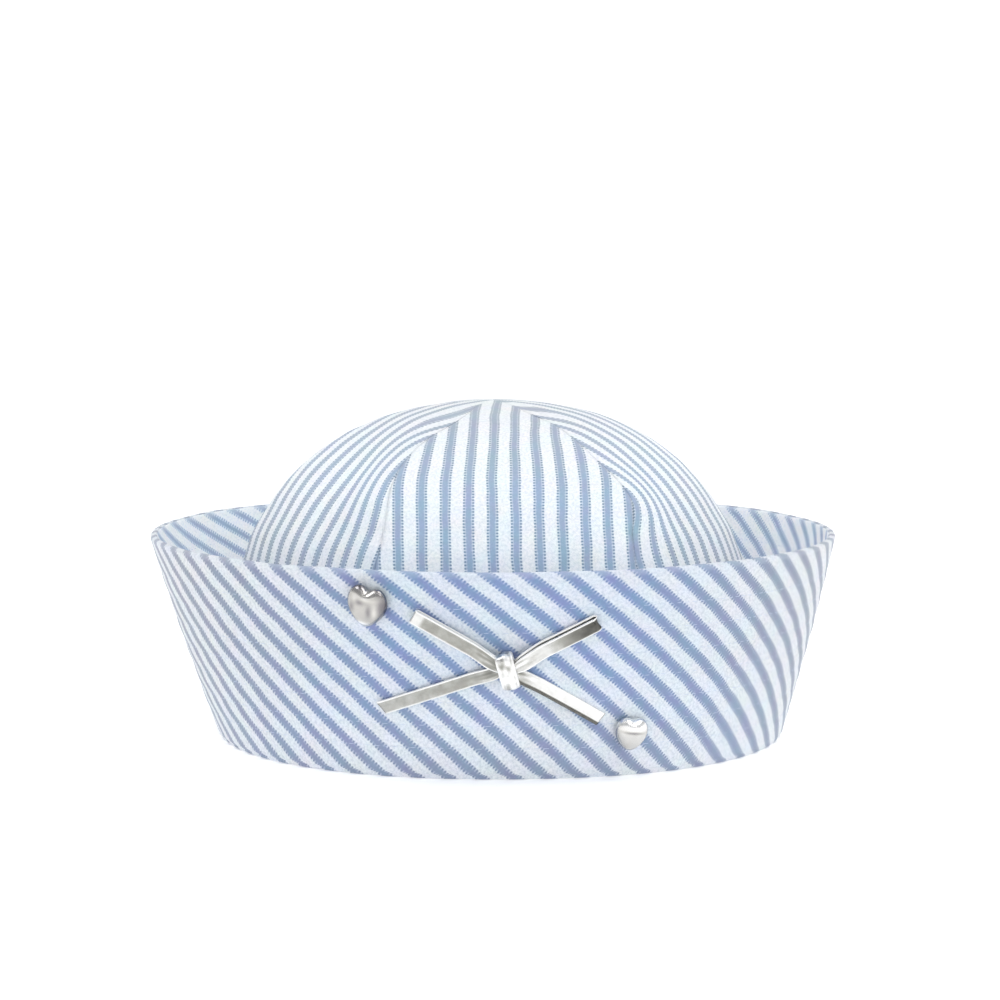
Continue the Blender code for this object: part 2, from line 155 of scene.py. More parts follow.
# %% Sizes of the ticking
STRIPE_PITCH = 7.5            # mm, from stripe to stripe
STRIPE_HALF = 1.74            # mm, half of the whole stripe
DOT_PITCH = 1.1               # mm, from dot to dot
DOT_SOFT = 0.25               # how softly a dot ends, as a part of the wave that makes it
EDGE_SOFT = 0.05              # mm, how soft the edge of a clean band is
FRAY_SOFT = 1.6               # a frayed edge is softer by this much for each mm of fray
NAP_FRAY = 6.0                # the nap frays an edge this much more than the weft does
WANDER = 1.1                  # mm, how far the stripes wander
WEAVE_PITCH = 0.85            # mm; the real thread is 0.35 mm, too fine to show at this size
WEAVE_DEPTH = 0.05 * MM
NAP = {"Scale": 1.1, "Detail": 3.0, "Roughness": 0.65}        # tufts of about 0.9 mm
PATCHES = {"Scale": 0.11, "Detail": 3.0, "Roughness": 0.6}    # uneven dye, about 9 mm across
WARP = {"Scale": 0.07, "Detail": 2.0}                         # warp threads bend over 14 mm
CLOTH_MAP = "cloth"

# dye colours as sRGB hex values, and how far the sides are faded and how much the rim's top is
# painted white as a highlight
Dye = namedtuple("Dye", "white worn strip blue violet dot faded rubbed")
# in mm: the band's half, then its dotted thread's place and half, then how frayed the edges are
Stripe = namedtuple("Stripe", "band thread thread_half fray")
print("ticking repeats every", STRIPE_PITCH, "mm")

# %% [markdown]
# The pattern is a distance: PINGPONG folds the way across the cloth into the distance from the
# middle of the nearest stripe. The weft breaks the edge of a band into tiny steps, and the nap
# frays it more. A Map Range node then says for each part of the stripe where it is.

# %% The woven pattern
def woven_stripe(tree, across, along, nap, stripe):
    """Masks for the whole stripe, its dots and its band, as outputs from 0 to 1."""
    distance = add_node(tree, "ShaderNodeMath", (across, STRIPE_PITCH / 2),
                        operation="PINGPONG")[0]
    weft = add_node(tree, "ShaderNodeMath", (along, 2 * math.pi / DOT_PITCH),
                    operation="MULTIPLY")[0]
    weft = add_node(tree, "ShaderNodeMath", (weft,), operation="SINE")[0]
    ragged = add_node(tree, "ShaderNodeMath", (weft, stripe.fray, distance),
                      operation="MULTIPLY_ADD")[0]
    tufts = add_node(tree, "ShaderNodeMath", (nap, -0.5), operation="ADD")[0]
    ragged = add_node(tree, "ShaderNodeMath", (tufts, NAP_FRAY * stripe.fray, ragged),
                      operation="MULTIPLY_ADD")[0]
    off_thread = add_node(tree, "ShaderNodeMath", (distance, stripe.thread),
                          operation="SUBTRACT")[0]
    off_thread = add_node(tree, "ShaderNodeMath", (off_thread,), operation="ABSOLUTE")[0]
    soft = EDGE_SOFT + FRAY_SOFT * stripe.fray
    in_stripe, in_band, on_thread, on_weft = (
        add_node(tree, "ShaderNodeMapRange", (value, low, high, 1.0, 0.0))[0]
        for value, low, high in (
            (ragged, STRIPE_HALF - soft, STRIPE_HALF + soft),
            (ragged, stripe.band - soft, stripe.band + soft),
            (off_thread, stripe.thread_half, stripe.thread_half + soft),
            (weft, -DOT_SOFT, DOT_SOFT)))
    in_dot = add_node(tree, "ShaderNodeMath", (on_thread, on_weft), operation="MULTIPLY")[0]
    return in_stripe, in_dot, in_band


print("the whole stripe is", 2 * STRIPE_HALF, "mm wide")

# %% [markdown]
# A worn cap isn't one colour all over. The dye has faded at its sides, top and foot. Shade is
# painted on the top, which is drawn darker, light is painted on the foot, which is drawn paler,
# and a highlight is painted white along the rim's top. These zones are given in the cap's own
# sizes, so they read the Object coordinates.

# %% Fading and wear
Zone = namedtuple("Zone", "start full")     # where a change begins, and where it is complete
SIDE_FADE = Zone(35.0 * MM, 100.0 * MM)     # from the cap's middle plane
TOP_FADE = Zone(84.0 * MM, 112.0 * MM)      # heights
FOOT_FADE = Zone(38.0 * MM, 0.0)
# the heights where a highlight is painted white along the rim's top
RIM_HIGHLIGHT = Zone(65.4 * MM, 66.7 * MM)
END_FADE = 0.7                # the top and the foot are this much as faded as the sides
TOP_PAINTED_SHADE = 0.92               # how much darker the top is painted, as painted shade
FOOT_PAINTED_LIGHT = 1.10              # how much paler the foot is painted, as painted light


def faded_dye_and_painted_light(tree, colour, dye):
    """The colour faded to grey and painted white at the rim as a highlight, and how bright the
    painted shade on the top and the painted light on the foot leave it.
    """
    place = add_node(tree, "ShaderNodeTexCoord")["Object"]
    sideways, _, height = add_node(tree, "ShaderNodeSeparateXYZ", (place,))
    sideways = add_node(tree, "ShaderNodeMath", (sideways,), operation="ABSOLUTE")[0]
    at_side, at_top, at_foot, at_rim = (
        add_node(tree, "ShaderNodeMapRange", (value, *zone, 0.0, most))[0]
        for value, zone, most in ((sideways, SIDE_FADE, dye.faded), (height, TOP_FADE, 1.0),
                                  (height, FOOT_FADE, 1.0), (height, RIM_HIGHLIGHT, dye.rubbed)))
    at_end = add_node(tree, "ShaderNodeMath", (at_top, at_foot), operation="ADD")[0]
    at_end = add_node(tree, "ShaderNodeMath", (at_end, END_FADE * dye.faded),
                      operation="MULTIPLY")[0]
    faded = add_node(tree, "ShaderNodeMath", (at_side, at_end), operation="MAXIMUM")[0]
    # painted shade darkens the top and painted light brightens the foot
    painted_light_and_shade = 1.0
    for zone, change in ((at_top, TOP_PAINTED_SHADE - 1.0), (at_foot, FOOT_PAINTED_LIGHT - 1.0)):
        painted_light_and_shade = add_node(tree, "ShaderNodeMath", (zone, change, painted_light_and_shade), operation="MULTIPLY_ADD")[0]
    grey = add_node(tree, "ShaderNodeRGBToBW", (colour,))[0]
    # the colour fades to grey, and a highlight is painted white along the rim's top
    for share, tone in ((faded, grey), (at_rim, linear(dye.white))):
        colour = add_node(tree, "ShaderNodeMix", {0: share, 6: colour, 7: tone},
                          data_type="RGBA")[2]
    return colour, painted_light_and_shade


print("the sides fade from", SIDE_FADE.start / MM, "to", SIDE_FADE.full / MM, "mm from the middle")

# %% [markdown]
# Cotton is dull and a little fluffy: a high roughness, a low specular level and a soft sheen. The
# masks are laid over the white cotton one after the other, first the pale strip, then the dots
# and the band. The fading, the painted highlight at the rim, the painted shade on the top and the
# painted light on the foot come next, and then the grain of the nap. The weave is a bump.

# %% The ticking material
NAP_UP = (0.36, 0.56)         # the cotton is whiter where the nap stands up
DYE_SHIFT = (0.38, 0.62)      # the blue wanders from one dye to the other
TINT_SPREAD, TINT_BASE = (0.20, 0.14, 0.18), (0.90, 0.93, 0.91)    # and so does the bleach
GRAIN = (0.3, 0.7, 0.93, 1.05)         # the nap from 0.3 to 0.7 is 0.93 to 1.05 as bright
NAP_HEIGHT = 2.0              # how much higher the nap stands than the threads
WEAVE_BUMP = 0.35             # how strongly the light shows the weave


def ticking(name, dye, stripe):
    """Matt woven cotton with this dye and this stripe."""
    material, tree, shader = new_material(name, Roughness=0.88, Sheen_Weight=0.3, IOR=1.46,
                                          Sheen_Roughness=0.5, Specular_IOR_Level=0.25)
    cloth = add_node(tree, "ShaderNodeUVMap", uv_map=CLOTH_MAP)["UV"]
    nap = add_node(tree, "ShaderNodeTexNoise", {"Vector": cloth, **NAP})["Fac"]
    patches = add_node(tree, "ShaderNodeTexNoise", {"Vector": cloth, **PATCHES})
    drift = add_node(tree, "ShaderNodeTexNoise", {"Vector": cloth, **WARP})["Fac"]
    across, along, _ = add_node(tree, "ShaderNodeSeparateXYZ", (cloth,))
    across = add_node(tree, "ShaderNodeMath", (drift, WANDER, across), operation="MULTIPLY_ADD")[0]
    across = add_node(tree, "ShaderNodeMath", (across, -0.5 * WANDER), operation="ADD")[0]
    in_stripe, in_dot, in_band = woven_stripe(tree, across, along, nap, stripe)

    raised = add_node(tree, "ShaderNodeMapRange", (nap, *NAP_UP))[0]
    white = add_node(tree, "ShaderNodeMix", {0: raised, 6: linear(dye.worn), 7: linear(dye.white)},
                     data_type="RGBA")[2]
    shift = add_node(tree, "ShaderNodeMapRange", (patches["Fac"], *DYE_SHIFT))[0]
    blue = add_node(tree, "ShaderNodeMix", {0: shift, 6: linear(dye.blue), 7: linear(dye.violet)},
                    data_type="RGBA")[2]
    colour = white
    for mask, thread in ((in_stripe, linear(dye.strip)), (in_dot, linear(dye.dot)),
                         (in_band, blue)):
        colour = add_node(tree, "ShaderNodeMix", {0: mask, 6: colour, 7: thread},
                          data_type="RGBA")[2]
    colour, painted_light_and_shade = faded_dye_and_painted_light(tree, colour, dye)
    tint = add_node(tree, "ShaderNodeVectorMath", (patches["Color"], TINT_SPREAD, TINT_BASE),
                    operation="MULTIPLY_ADD")[0]
    grain = add_node(tree, "ShaderNodeMapRange", (nap, *GRAIN))[0]
    for tone in (tint, grain, painted_light_and_shade):
        colour = add_node(tree, "ShaderNodeVectorMath", (colour, tone), operation="MULTIPLY")[0]
    tree.links.new(colour, shader.inputs["Base Color"])

    # Warp and weft cross in a fine grid of bumps, with the nap over it.
    waves = []
    for axis in (across, along):
        turn = add_node(tree, "ShaderNodeMath", (axis, 2 * math.pi / WEAVE_PITCH),
                        operation="MULTIPLY")[0]
        waves.append(add_node(tree, "ShaderNodeMath", (turn,), operation="SINE")[0])
    weave = add_node(tree, "ShaderNodeMath", waves, operation="MULTIPLY")[0]
    weave = add_node(tree, "ShaderNodeMath", (nap, NAP_HEIGHT, weave),
                     operation="MULTIPLY_ADD")[0]
    bump = add_node(tree, "ShaderNodeBump",
                    {"Height": weave, "Strength": WEAVE_BUMP, "Distance": WEAVE_DEPTH})["Normal"]
    tree.links.new(bump, shader.inputs["Normal"])
    return material


print("the weave is drawn at", WEAVE_PITCH, "mm")

# %% [markdown]
# The crown and the brim were cut from one kind of cloth, but the brim's outside is drawn darker, and
# its bands are more frayed because they run on the bias. Its inside has hardly seen the light, so it
# hasn't faded, and it is also painted paler, as painted light where the crown and the brim shade it.

# %% Three cloths
crown_dye = Dye("#EEF2F5", "#E1E9EF", "#C8D4E1", "#98B1C7", "#9CACC9", "#7690A8", 0.65, 0.0)
brim_dye = Dye("#D8DFE7", "#C7D2DE", "#A5B3CF", "#7C98B9", "#8290BC", "#728BB0", 0.6, 0.20)
# the inside is painted paler, as painted light where the crown and the brim shade it
inside_dye_painted_light = Dye("#FCFEFF", "#F3F8FC", "#DCE7F2", "#A2B8CF", "#A7B5D2", "#A6B9D3", 0.0, 0.20)
crown_ticking = ticking("cotton_ticking_crown", crown_dye, Stripe(0.92, 1.44, 0.22, 0.09))
brim_ticking = ticking("cotton_ticking_brim", brim_dye, Stripe(1.05, 1.40, 0.20, 0.19))
inside_ticking_painted_light = ticking("cotton_ticking_inside_painted_light", inside_dye_painted_light, Stripe(0.92, 1.44, 0.20, 0.19))
print("cloths:", crown_ticking.name, brim_ticking.name, inside_ticking_painted_light.name)

# %% [markdown]
# ## The crown's shape
#
# Six gores meet at the top. Each is cut with the stripes running up its middle, so the stripes
# meet in chevrons at the seams. Every second gore is the mirror image of its neighbour: that is
# why the chevrons match. A gore could be modelled by hand from a flat cut. Here its shape is a
# rule instead: a table of heights and radii at the seams, and a middle that lies a little nearer
# the axis, because cloth bends only one way at a time. Soft dents come from a second table.

# %% Sizes of the crown
CLOTH = 1.6 * MM              # one ply with its interlining
GORE_COUNT = 6
FLAT_FROM = 4.0 * MM          # height where the gores start to flatten
FLAT_TO = 55.0 * MM           # height where they are as flat as they get
GORE_ROWS = 120
GORE_COLUMNS = 52

Section = namedtuple("Section", "height radius")
CROWN_SECTIONS = [            # the outline at the side seams, from the base to the top
    Section(2.7 * MM, 91.4 * MM),
    Section(30.0 * MM, 89.4 * MM),
    Section(52.0 * MM, 86.2 * MM),
    Section(66.0 * MM, 82.2 * MM),
    Section(75.7 * MM, 76.5 * MM),
    Section(83.9 * MM, 70.4 * MM),
    Section(92.1 * MM, 62.2 * MM),
    Section(100.3 * MM, 50.9 * MM),
    Section(106.6 * MM, 37.0 * MM),
    Section(110.0 * MM, 21.5 * MM),
    Section(111.3 * MM, 9.0 * MM),
    Section(111.6 * MM, 0.0 * MM),
]

Gore = namedtuple("Gore", "name flatness start stretch")
# flatness: how much nearer the axis a gore's middle is than its seams
# start: mm from its middle to its first stripe; stretch: how far the stripes are drawn apart
GORES = [
    Gore("front", 0.085, 3.3, 1.0),
    Gore("front_right", 0.045, 2.2, 1.10),
    Gore("back_right", 0.085, 3.3, 1.0),
    Gore("back", 0.085, 3.3, 1.0),
    Gore("back_left", 0.085, 3.3, 1.0),
    Gore("front_left", 0.054, 1.0, 1.055),
]

Lean = namedtuple("Lean", "seam height turn reach")
# where a seam strays round the crown, in degrees; seam 0 ends the front gore and seam 5 begins it
SEAM_LEANS = [
    Lean(0, 85.0 * MM, 5.6, 11.0 * MM),
    Lean(0, 110.5 * MM, -8.0, 4.0 * MM),
    Lean(5, 93.0 * MM, -2.6, 10.0 * MM),
    Lean(5, 109.0 * MM, 9.0, 5.0 * MM),
]

Dent = namedtuple("Dent", "angle height depth across along slant")
CROWN_DENTS = [               # soft swells and hollows; slant turns the long axis from upright
    Dent(-34.0, 85.0 * MM, -2.2 * MM, 10.0 * MM, 12.0 * MM, -34.0),
    Dent(-60.0, 94.0 * MM, 2.4 * MM, 13.0 * MM, 24.0 * MM, 50.0),
    Dent(-75.0, 104.0 * MM, 0.9 * MM, 22.0 * MM, 9.0 * MM, 0.0),
    Dent(41.0, 66.0 * MM, -2.0 * MM, 10.0 * MM, 22.0 * MM, 0.0),
    Dent(33.0, 93.0 * MM, -0.9 * MM, 9.0 * MM, 9.0 * MM, 0.0),
    Dent(205.0, 86.0 * MM, 1.4 * MM, 10.0 * MM, 18.0 * MM, 15.0),
]

SEAM_DEPTH = 0.55 * MM        # the cloth turns in at a seam
SEAM_REACH = 1.1 * MM
PUCKER_DEPTH = 0.44 * MM      # the thread draws the cloth up into small ripples
PUCKER_REACH = 7.0 * MM
PUCKER_PITCH = 8.0 * MM
RUMPLE = 0.45 * MM            # slow unevenness of soft cloth
RUMPLE_PITCH = 26.0 * MM
TOP_CALM = 12.0 * MM          # this near the top, where all the seams meet, the cloth is stiff
TIP_RADIUS = 0.02 * MM        # a gore's point isn't quite a point
print("the crown is", CROWN_SECTIONS[-1].height / MM, "mm high")

# %% [markdown]
# The table gives the outline at the seams, and a smooth curve runs through its rows. A gore's
# middle lies nearer the axis, the dents push the cloth in or out, and the seams draw it in. Noise
# is a smooth field of random numbers that is always the same, so it suits the small unevenness.

# %% The crown's surface
def spline(rows, place):
    """A smooth curve through the rows, with place from 0 to 1 along the row numbers."""
    at = min(max(place, 0.0), 1.0) * (len(rows) - 1)
    i = min(int(at), len(rows) - 2)
    f = at - i
    before, start, end, after = (rows[min(max(k, 0), len(rows) - 1)] for k in range(i - 1, i + 3))
    return [
        0.5 * (2 * p1 + (p2 - p0) * f + (2 * p0 - 5 * p1 + 4 * p2 - p3) * f * f
               + (3 * p1 - p0 - 3 * p2 + p3) * f ** 3)
        for p0, p1, p2, p3 in zip(before, start, end, after)
    ]


def dent_depth(angle, height, radius):
    """How far the cloth is pushed in here, all dents together."""
    depth = 0.0
    for dent in CROWN_DENTS:
        turn = (math.degrees(angle) - dent.angle + 180.0) % 360.0 - 180.0
        sideways = math.radians(turn) * radius
        upwards = height - dent.height
        slant = math.radians(dent.slant)
        across = (sideways * math.cos(slant) + upwards * math.sin(slant)) / dent.across
        along = (upwards * math.cos(slant) - sideways * math.sin(slant)) / dent.along
        depth += dent.depth * math.exp(-across * across - along * along)
    return depth


def seam_lean(seam, height):
    """How far this seam strays here, as an angle round the crown."""
    turn = 0.0
    for lean in SEAM_LEANS:
        if lean.seam == seam % GORE_COUNT:
            turn += lean.turn * math.exp(-((height - lean.height) / lean.reach) ** 2)
    return math.radians(turn)


def crown_point(gore, share, place):
    """A point of the outer face: share is -1 and 1 at a gore's seams, place 0 to 1 goes up."""
    height, radius = spline(CROWN_SECTIONS, place)
    radius = max(radius, TIP_RADIUS)
    half_gore = math.pi / GORE_COUNT
    angle = gore * 2.0 * half_gore + share * half_gore
    seam = gore if share > 0.0 else gore - 1
    angle += abs(share) * seam_lean(seam, height)
    flatness = GORES[gore].flatness * smooth_step((height - FLAT_FROM) / (FLAT_TO - FLAT_FROM))
    arc = radius * (1.0 - flatness * (1.0 - share * share))
    depth = dent_depth(angle, height, arc)
    from_seam = (1.0 - abs(share)) * half_gore * radius
    depth += SEAM_DEPTH * math.exp(-(from_seam / SEAM_REACH) ** 2)
    depth += RUMPLE * noise.noise(plan_point(arc, angle, height) / RUMPLE_PITCH)
    # each side of each seam has ripples of its own
    ripple = noise.noise(Vector((3.0 * gore, math.copysign(5.0, share),
                                 (height - radius) / PUCKER_PITCH)))
    depth += PUCKER_DEPTH * ripple * math.exp(-from_seam / PUCKER_REACH)
    return plan_point(arc - depth * smooth_step(radius / TOP_CALM), angle, height)


print("a point on the front seam line:", [round(x, 4) for x in crown_point(0, 1.0, 0.4)])

# %% [markdown]
# ## Building a gore
#
# The outer face is a grid of points. Its UV map is the flat cloth: across is the distance from
# the gore's middle line, measured along the surface, and up is the distance from the base. The
# soft cloth leans a little near the top, and the stripes lie a little closer there.
#
# A careful maker shifts each gore until its stripes meet its neighbour's along the seam. The
# front gore is laid first here, and every later gore is eased to the ones it is sewn to, most at
# the seam and not at all in its middle. Solidify then gives the wall its thickness inwards, and
# the inner edges are brought back to the seams, so that neighbours meet and don't cross.

# %% Stripes on a gore
TOP_LEAN = 4.7                # mm, how far the stripes have drifted aside at the top
TOP_EASE = 0.12               # the stripes lie closer by this share near the top
LEAN_FROM = 65.0              # mm up the cloth
LEAN_OVER = 82.0
EASE_FROM = 92.0
EASE_OVER = 30.0
MATCH_FROM = 0.25             # share of the way to the seam where the matching starts


def stripe_place(gore, across, up):
    """How far across the striped cloth a point lies, in mm. Every second gore is mirrored."""
    if gore % 2:
        across = -across
    lean = TOP_LEAN * (max(0.0, up - LEAN_FROM) / LEAN_OVER) ** 2
    ease = 1.0 + TOP_EASE * smooth_step((up - EASE_FROM) / EASE_OVER)
    return across * ease / GORES[gore].stretch - lean - GORES[gore].start


def ease_to_seam(places, edge, seam_places):
    """Shifts the stripes of a gore so that they meet the stripes already laid at this edge."""
    first = seam_places[0] - places[0][edge]
    whole = STRIPE_PITCH * round(first / STRIPE_PITCH)
    for row, wanted in zip(places, seam_places):
        slip = wanted - row[edge] - whole
        for column in range(GORE_COLUMNS + 1):
            share = 2.0 * column / GORE_COLUMNS - 1.0
            towards = share if edge else -share
            row[column] += slip * smooth_step((towards - MATCH_FROM) / (1.0 - MATCH_FROM))


print("stripes at the front gore's foot, in mm:",
      [round(stripe_place(0, across, 0.0), 1) for across in (-20.0, 0.0, 20.0)])

# %% Rows up a gore and a trim for its edges
SEAM_GAP = 0.04 * MM
FINE_ROWS = 600


def even_places(count):
    """Places up the gore that are an even distance apart."""
    fine = [spline(CROWN_SECTIONS, i / FINE_ROWS) for i in range(FINE_ROWS + 1)]
    run = list(accumulate((math.dist(a, b) for a, b in zip(fine, fine[1:])), initial=0.0))
    places = []
    for i in range(count + 1):
        want = run[-1] * i / count
        at = min(bisect_left(run, want, 1), FINE_ROWS) - 1
        places.append((at + (want - run[at]) / max(run[at + 1] - run[at], 1e-12)) / FINE_ROWS)
    return places


def trim_edges(mesh, gore):
    """Brings the inner face's edges back to the two seams and to the plane of the base."""
    gore_angle = gore * 2.0 * math.pi / GORE_COUNT
    for vertex in mesh.vertices:
        vertex.co.z = max(vertex.co.z, CROWN_SECTIONS[0].height)
        centre = plan_point(0.0, 0.0, vertex.co.z)
        across = vertex.co.x - centre.x
        forwards = -vertex.co.y / PLAN_LENGTH
        radius = math.hypot(across, forwards)
        turn = (math.atan2(across, forwards) - gore_angle + math.pi) % (2.0 * math.pi) - math.pi
        half_gore = math.pi / GORE_COUNT - 0.5 * SEAM_GAP / max(radius, SEAM_GAP)
        limit = half_gore + math.copysign(1.0, turn) * seam_lean(
            gore if turn > 0.0 else gore - 1, vertex.co.z)
        if abs(turn) > limit:
            angle = gore_angle + math.copysign(limit, turn)
            vertex.co.x = centre.x + radius * math.sin(angle)
            vertex.co.y = -PLAN_LENGTH * radius * math.cos(angle)


gore_places = even_places(GORE_ROWS)
print("the rows' places up the crown start with", [round(p, 4) for p in gore_places[:4]])


# %% Laying a gore on the striped cloth
def lay_gore(gore, places, seams):
    """The outer face's points, with the place of each on the cloth as (across, up) in mm."""
    middle = GORE_COLUMNS // 2
    grid = [[crown_point(gore, 2.0 * column / GORE_COLUMNS - 1.0, place)
             for column in range(GORE_COLUMNS + 1)] for place in places]
    stripes, heights, up = [], [], 0.0
    for row, points in enumerate(grid):
        if row:
            up += (points[middle] - grid[row - 1][middle]).length / MM
        steps = [(b - a).length / MM for a, b in zip(points, points[1:])]
        right = accumulate(steps[middle:], initial=0.0)
        left = accumulate(reversed(steps[:middle]), initial=0.0)
        across = [-run for run in left][:0:-1] + list(right)
        stripes.append([stripe_place(gore, a, up) for a in across])
        heights.append(up)
    for edge, seam in ((GORE_COLUMNS, gore), (0, (gore - 1) % GORE_COUNT)):
        if seam in seams:
            ease_to_seam(stripes, edge, seams[seam])
        else:
            seams[seam] = [row[edge] for row in stripes]
    flat = [(place, up) for row, up in zip(stripes, heights) for place in row]
    return [point for points in grid for point in points], flat


print("a gore has", (GORE_ROWS + 1) * (GORE_COLUMNS + 1), "points on its outer face")


# %% Sewing the crown
def cloth_mesh(name, points, faces, places):
    """A mesh whose UV map holds the place on the cloth, in mm, of every corner of every face."""
    mesh = bpy.data.meshes.new(name)
    mesh.from_pydata(points, [], faces)
    layer = mesh.uv_layers.new(name=CLOTH_MAP)
    layer.data.foreach_set("uv", [x for place in places for x in place])
    return mesh


def keep_result(piece):
    """Replaces a piece's mesh by what its modifiers make of it."""
    graph = bpy.context.evaluated_depsgraph_get()
    piece.data = bpy.data.meshes.new_from_object(piece.evaluated_get(graph))
    piece.modifiers.clear()


def build_gore(gore, places, seams, material):
    points, flat = lay_gore(gore, places, seams)
    width = GORE_COLUMNS + 1
    faces = [(r * width + c, r * width + c + 1, (r + 1) * width + c + 1, (r + 1) * width + c)
             for r in range(GORE_ROWS) for c in range(GORE_COLUMNS)]
    name = "gore_" + GORES[gore].name
    mesh = cloth_mesh(name, points, faces, [flat[corner] for face in faces for corner in face])
    piece = put_in_scene(name, mesh)
    wall = piece.modifiers.new("cloth", "SOLIDIFY")
    wall.thickness = CLOTH
    wall.offset = -1.0
    keep_result(piece)
    trim_edges(piece.data, gore)
    finish_piece(piece, material, "crown_cotton", "crown_panel_" + GORES[gore].name)


laid_seams = {}
for gore in (0, 1, 5, 2, 4, 3):
    build_gore(gore, gore_places, laid_seams, crown_ticking)

# %% [markdown]
# ## The brim
#
# The brim is two bands of ticking with a stiffener between them, sewn together along the rim,
# turned right side out and then held flat by seven rows of stitching. It is cut on the bias, so
# its stripes slant. It stands on the fold where it turns up from the crown.
#
# A Screw modifier could turn its section. Here the rings are skinned by a small loft function
# instead, because each ring can then carry its place on the cloth, and the bow uses the same
# loft. The outer and the inner band are different pieces of cloth, so the UV map changes from
# one to the other at the rim.

# %% The loft
def loft(name, rings, closed, cloth_place):
    """Skins closed rings of points. cloth_place(ring, corner, strip) is a corner's UV, in mm."""
    count, size = len(rings), len(rings[0])
    points = [point for ring in rings for point in ring]
    faces, places = [], []
    for i in range(count if closed else count - 1):
        j = (i + 1) % count
        for k in range(size):
            m = (k + 1) % size
            faces.append((i * size + k, i * size + m, j * size + m, j * size + k))
            places += [cloth_place(i, k, k), cloth_place(i, k + 1, k),
                       cloth_place(i + 1, k + 1, k), cloth_place(i + 1, k, k)]
    if not closed:
        faces.append(tuple(range(size))[::-1])
        places += [cloth_place(0, k, k) for k in range(size)][::-1]
        faces.append(tuple((count - 1) * size + k for k in range(size)))
        places += [cloth_place(count - 1, k, k) for k in range(size)]
    mesh = cloth_mesh(name, points, faces, places)
    shell = bmesh.new()
    shell.from_mesh(mesh)
    if shell.calc_volume(signed=True) < 0.0:       # the faces point inwards
        mesh.flip_normals()
    shell.free()
    return put_in_scene(name, mesh)


print("the loft is ready")

# %% Sizes of the brim
FOLD_RADIUS = 95.0 * MM       # outside, at the fold that the cap stands on
RIM_RADIUS = 115.2 * MM       # outside, at the rim
BRIM_BELLY = 0.6 * MM
BRIM_WALL = 2.4 * MM
BRIM_SLANT = math.hypot(BRIM_RISE, RIM_RADIUS - FOLD_RADIUS)
BRIM_SLOPE = math.atan2(RIM_RADIUS - FOLD_RADIUS, BRIM_RISE)

ROW_COUNT = 7                 # rows of stitching round the brim
ROW_FIRST = 0.157             # the lowest row, as a share of the way from the fold to the rim
ROW_PITCH = 0.115
ROWS = [ROW_FIRST + ROW_PITCH * row for row in range(ROW_COUNT)]
ROW_DEPTH = 0.14 * MM
ROW_REACH = 1.3 * MM          # how wide the stitched groove is
CHANNEL_PUFF = 0.06 * MM      # the cloth swells between two rows
INNER_PULL = 0.6              # the inner face is drawn in by this share of the outer one


def brim_face(rise):
    """Radius and height of the brim's outer face, without its rows of stitches."""
    belly = BRIM_BELLY * 4.0 * rise * (1.0 - rise)
    return FOLD_RADIUS + (RIM_RADIUS - FOLD_RADIUS) * rise + belly, BRIM_RISE * rise


def stitch_pull(rise):
    """How far the rows of stitching draw the face in, less how far it swells between them."""
    nearest = min(abs(rise - row) for row in ROWS)
    channel = smooth_step(nearest / (0.5 * ROW_PITCH)) if ROWS[0] < rise < ROWS[-1] else 0.0
    return ROW_DEPTH * math.exp(-(nearest * BRIM_SLANT / ROW_REACH) ** 2) - CHANNEL_PUFF * channel


print("the rows of stitches are", round(ROW_PITCH * BRIM_SLANT / MM, 1), "mm apart")

# %% [markdown]
# The section is one closed loop of corners. It goes down the outer face, round the fold, along
# the foot that is turned in under the crown, back, up the inner face and over the rim. Each
# corner knows its place up the cloth, and which of the two bands it belongs to.

# %% The brim's section
FACE_STEPS = 92
FACE_LOW = 0.03               # the outer face starts this far up, above the fold's rounding
FOLD_ROUND = 1.2 * MM
FOLD_STEP = 15                # degrees
FOOT_REACH = 7.5 * MM
FOOT_CHAMFER = 0.7 * MM
RIM_STEPS = 8
FOLD_CLOTH = 0.02             # cloth that the fold takes, as a share of the way up to the rim
FOOT_CLOTH = (0.09, 0.1)      # and what the foot takes, up to each corner of its chamfer
RIM_CLOTH = 0.054             # and what the rim takes
RIM_PINCH = 0.18              # the rim's rounding is this much flatter at its top
PINCH_REACH = 0.8             # in steps of the rim's rounding

Corner = namedtuple("Corner", "radius height rise outer")    # rise: its place up the cloth


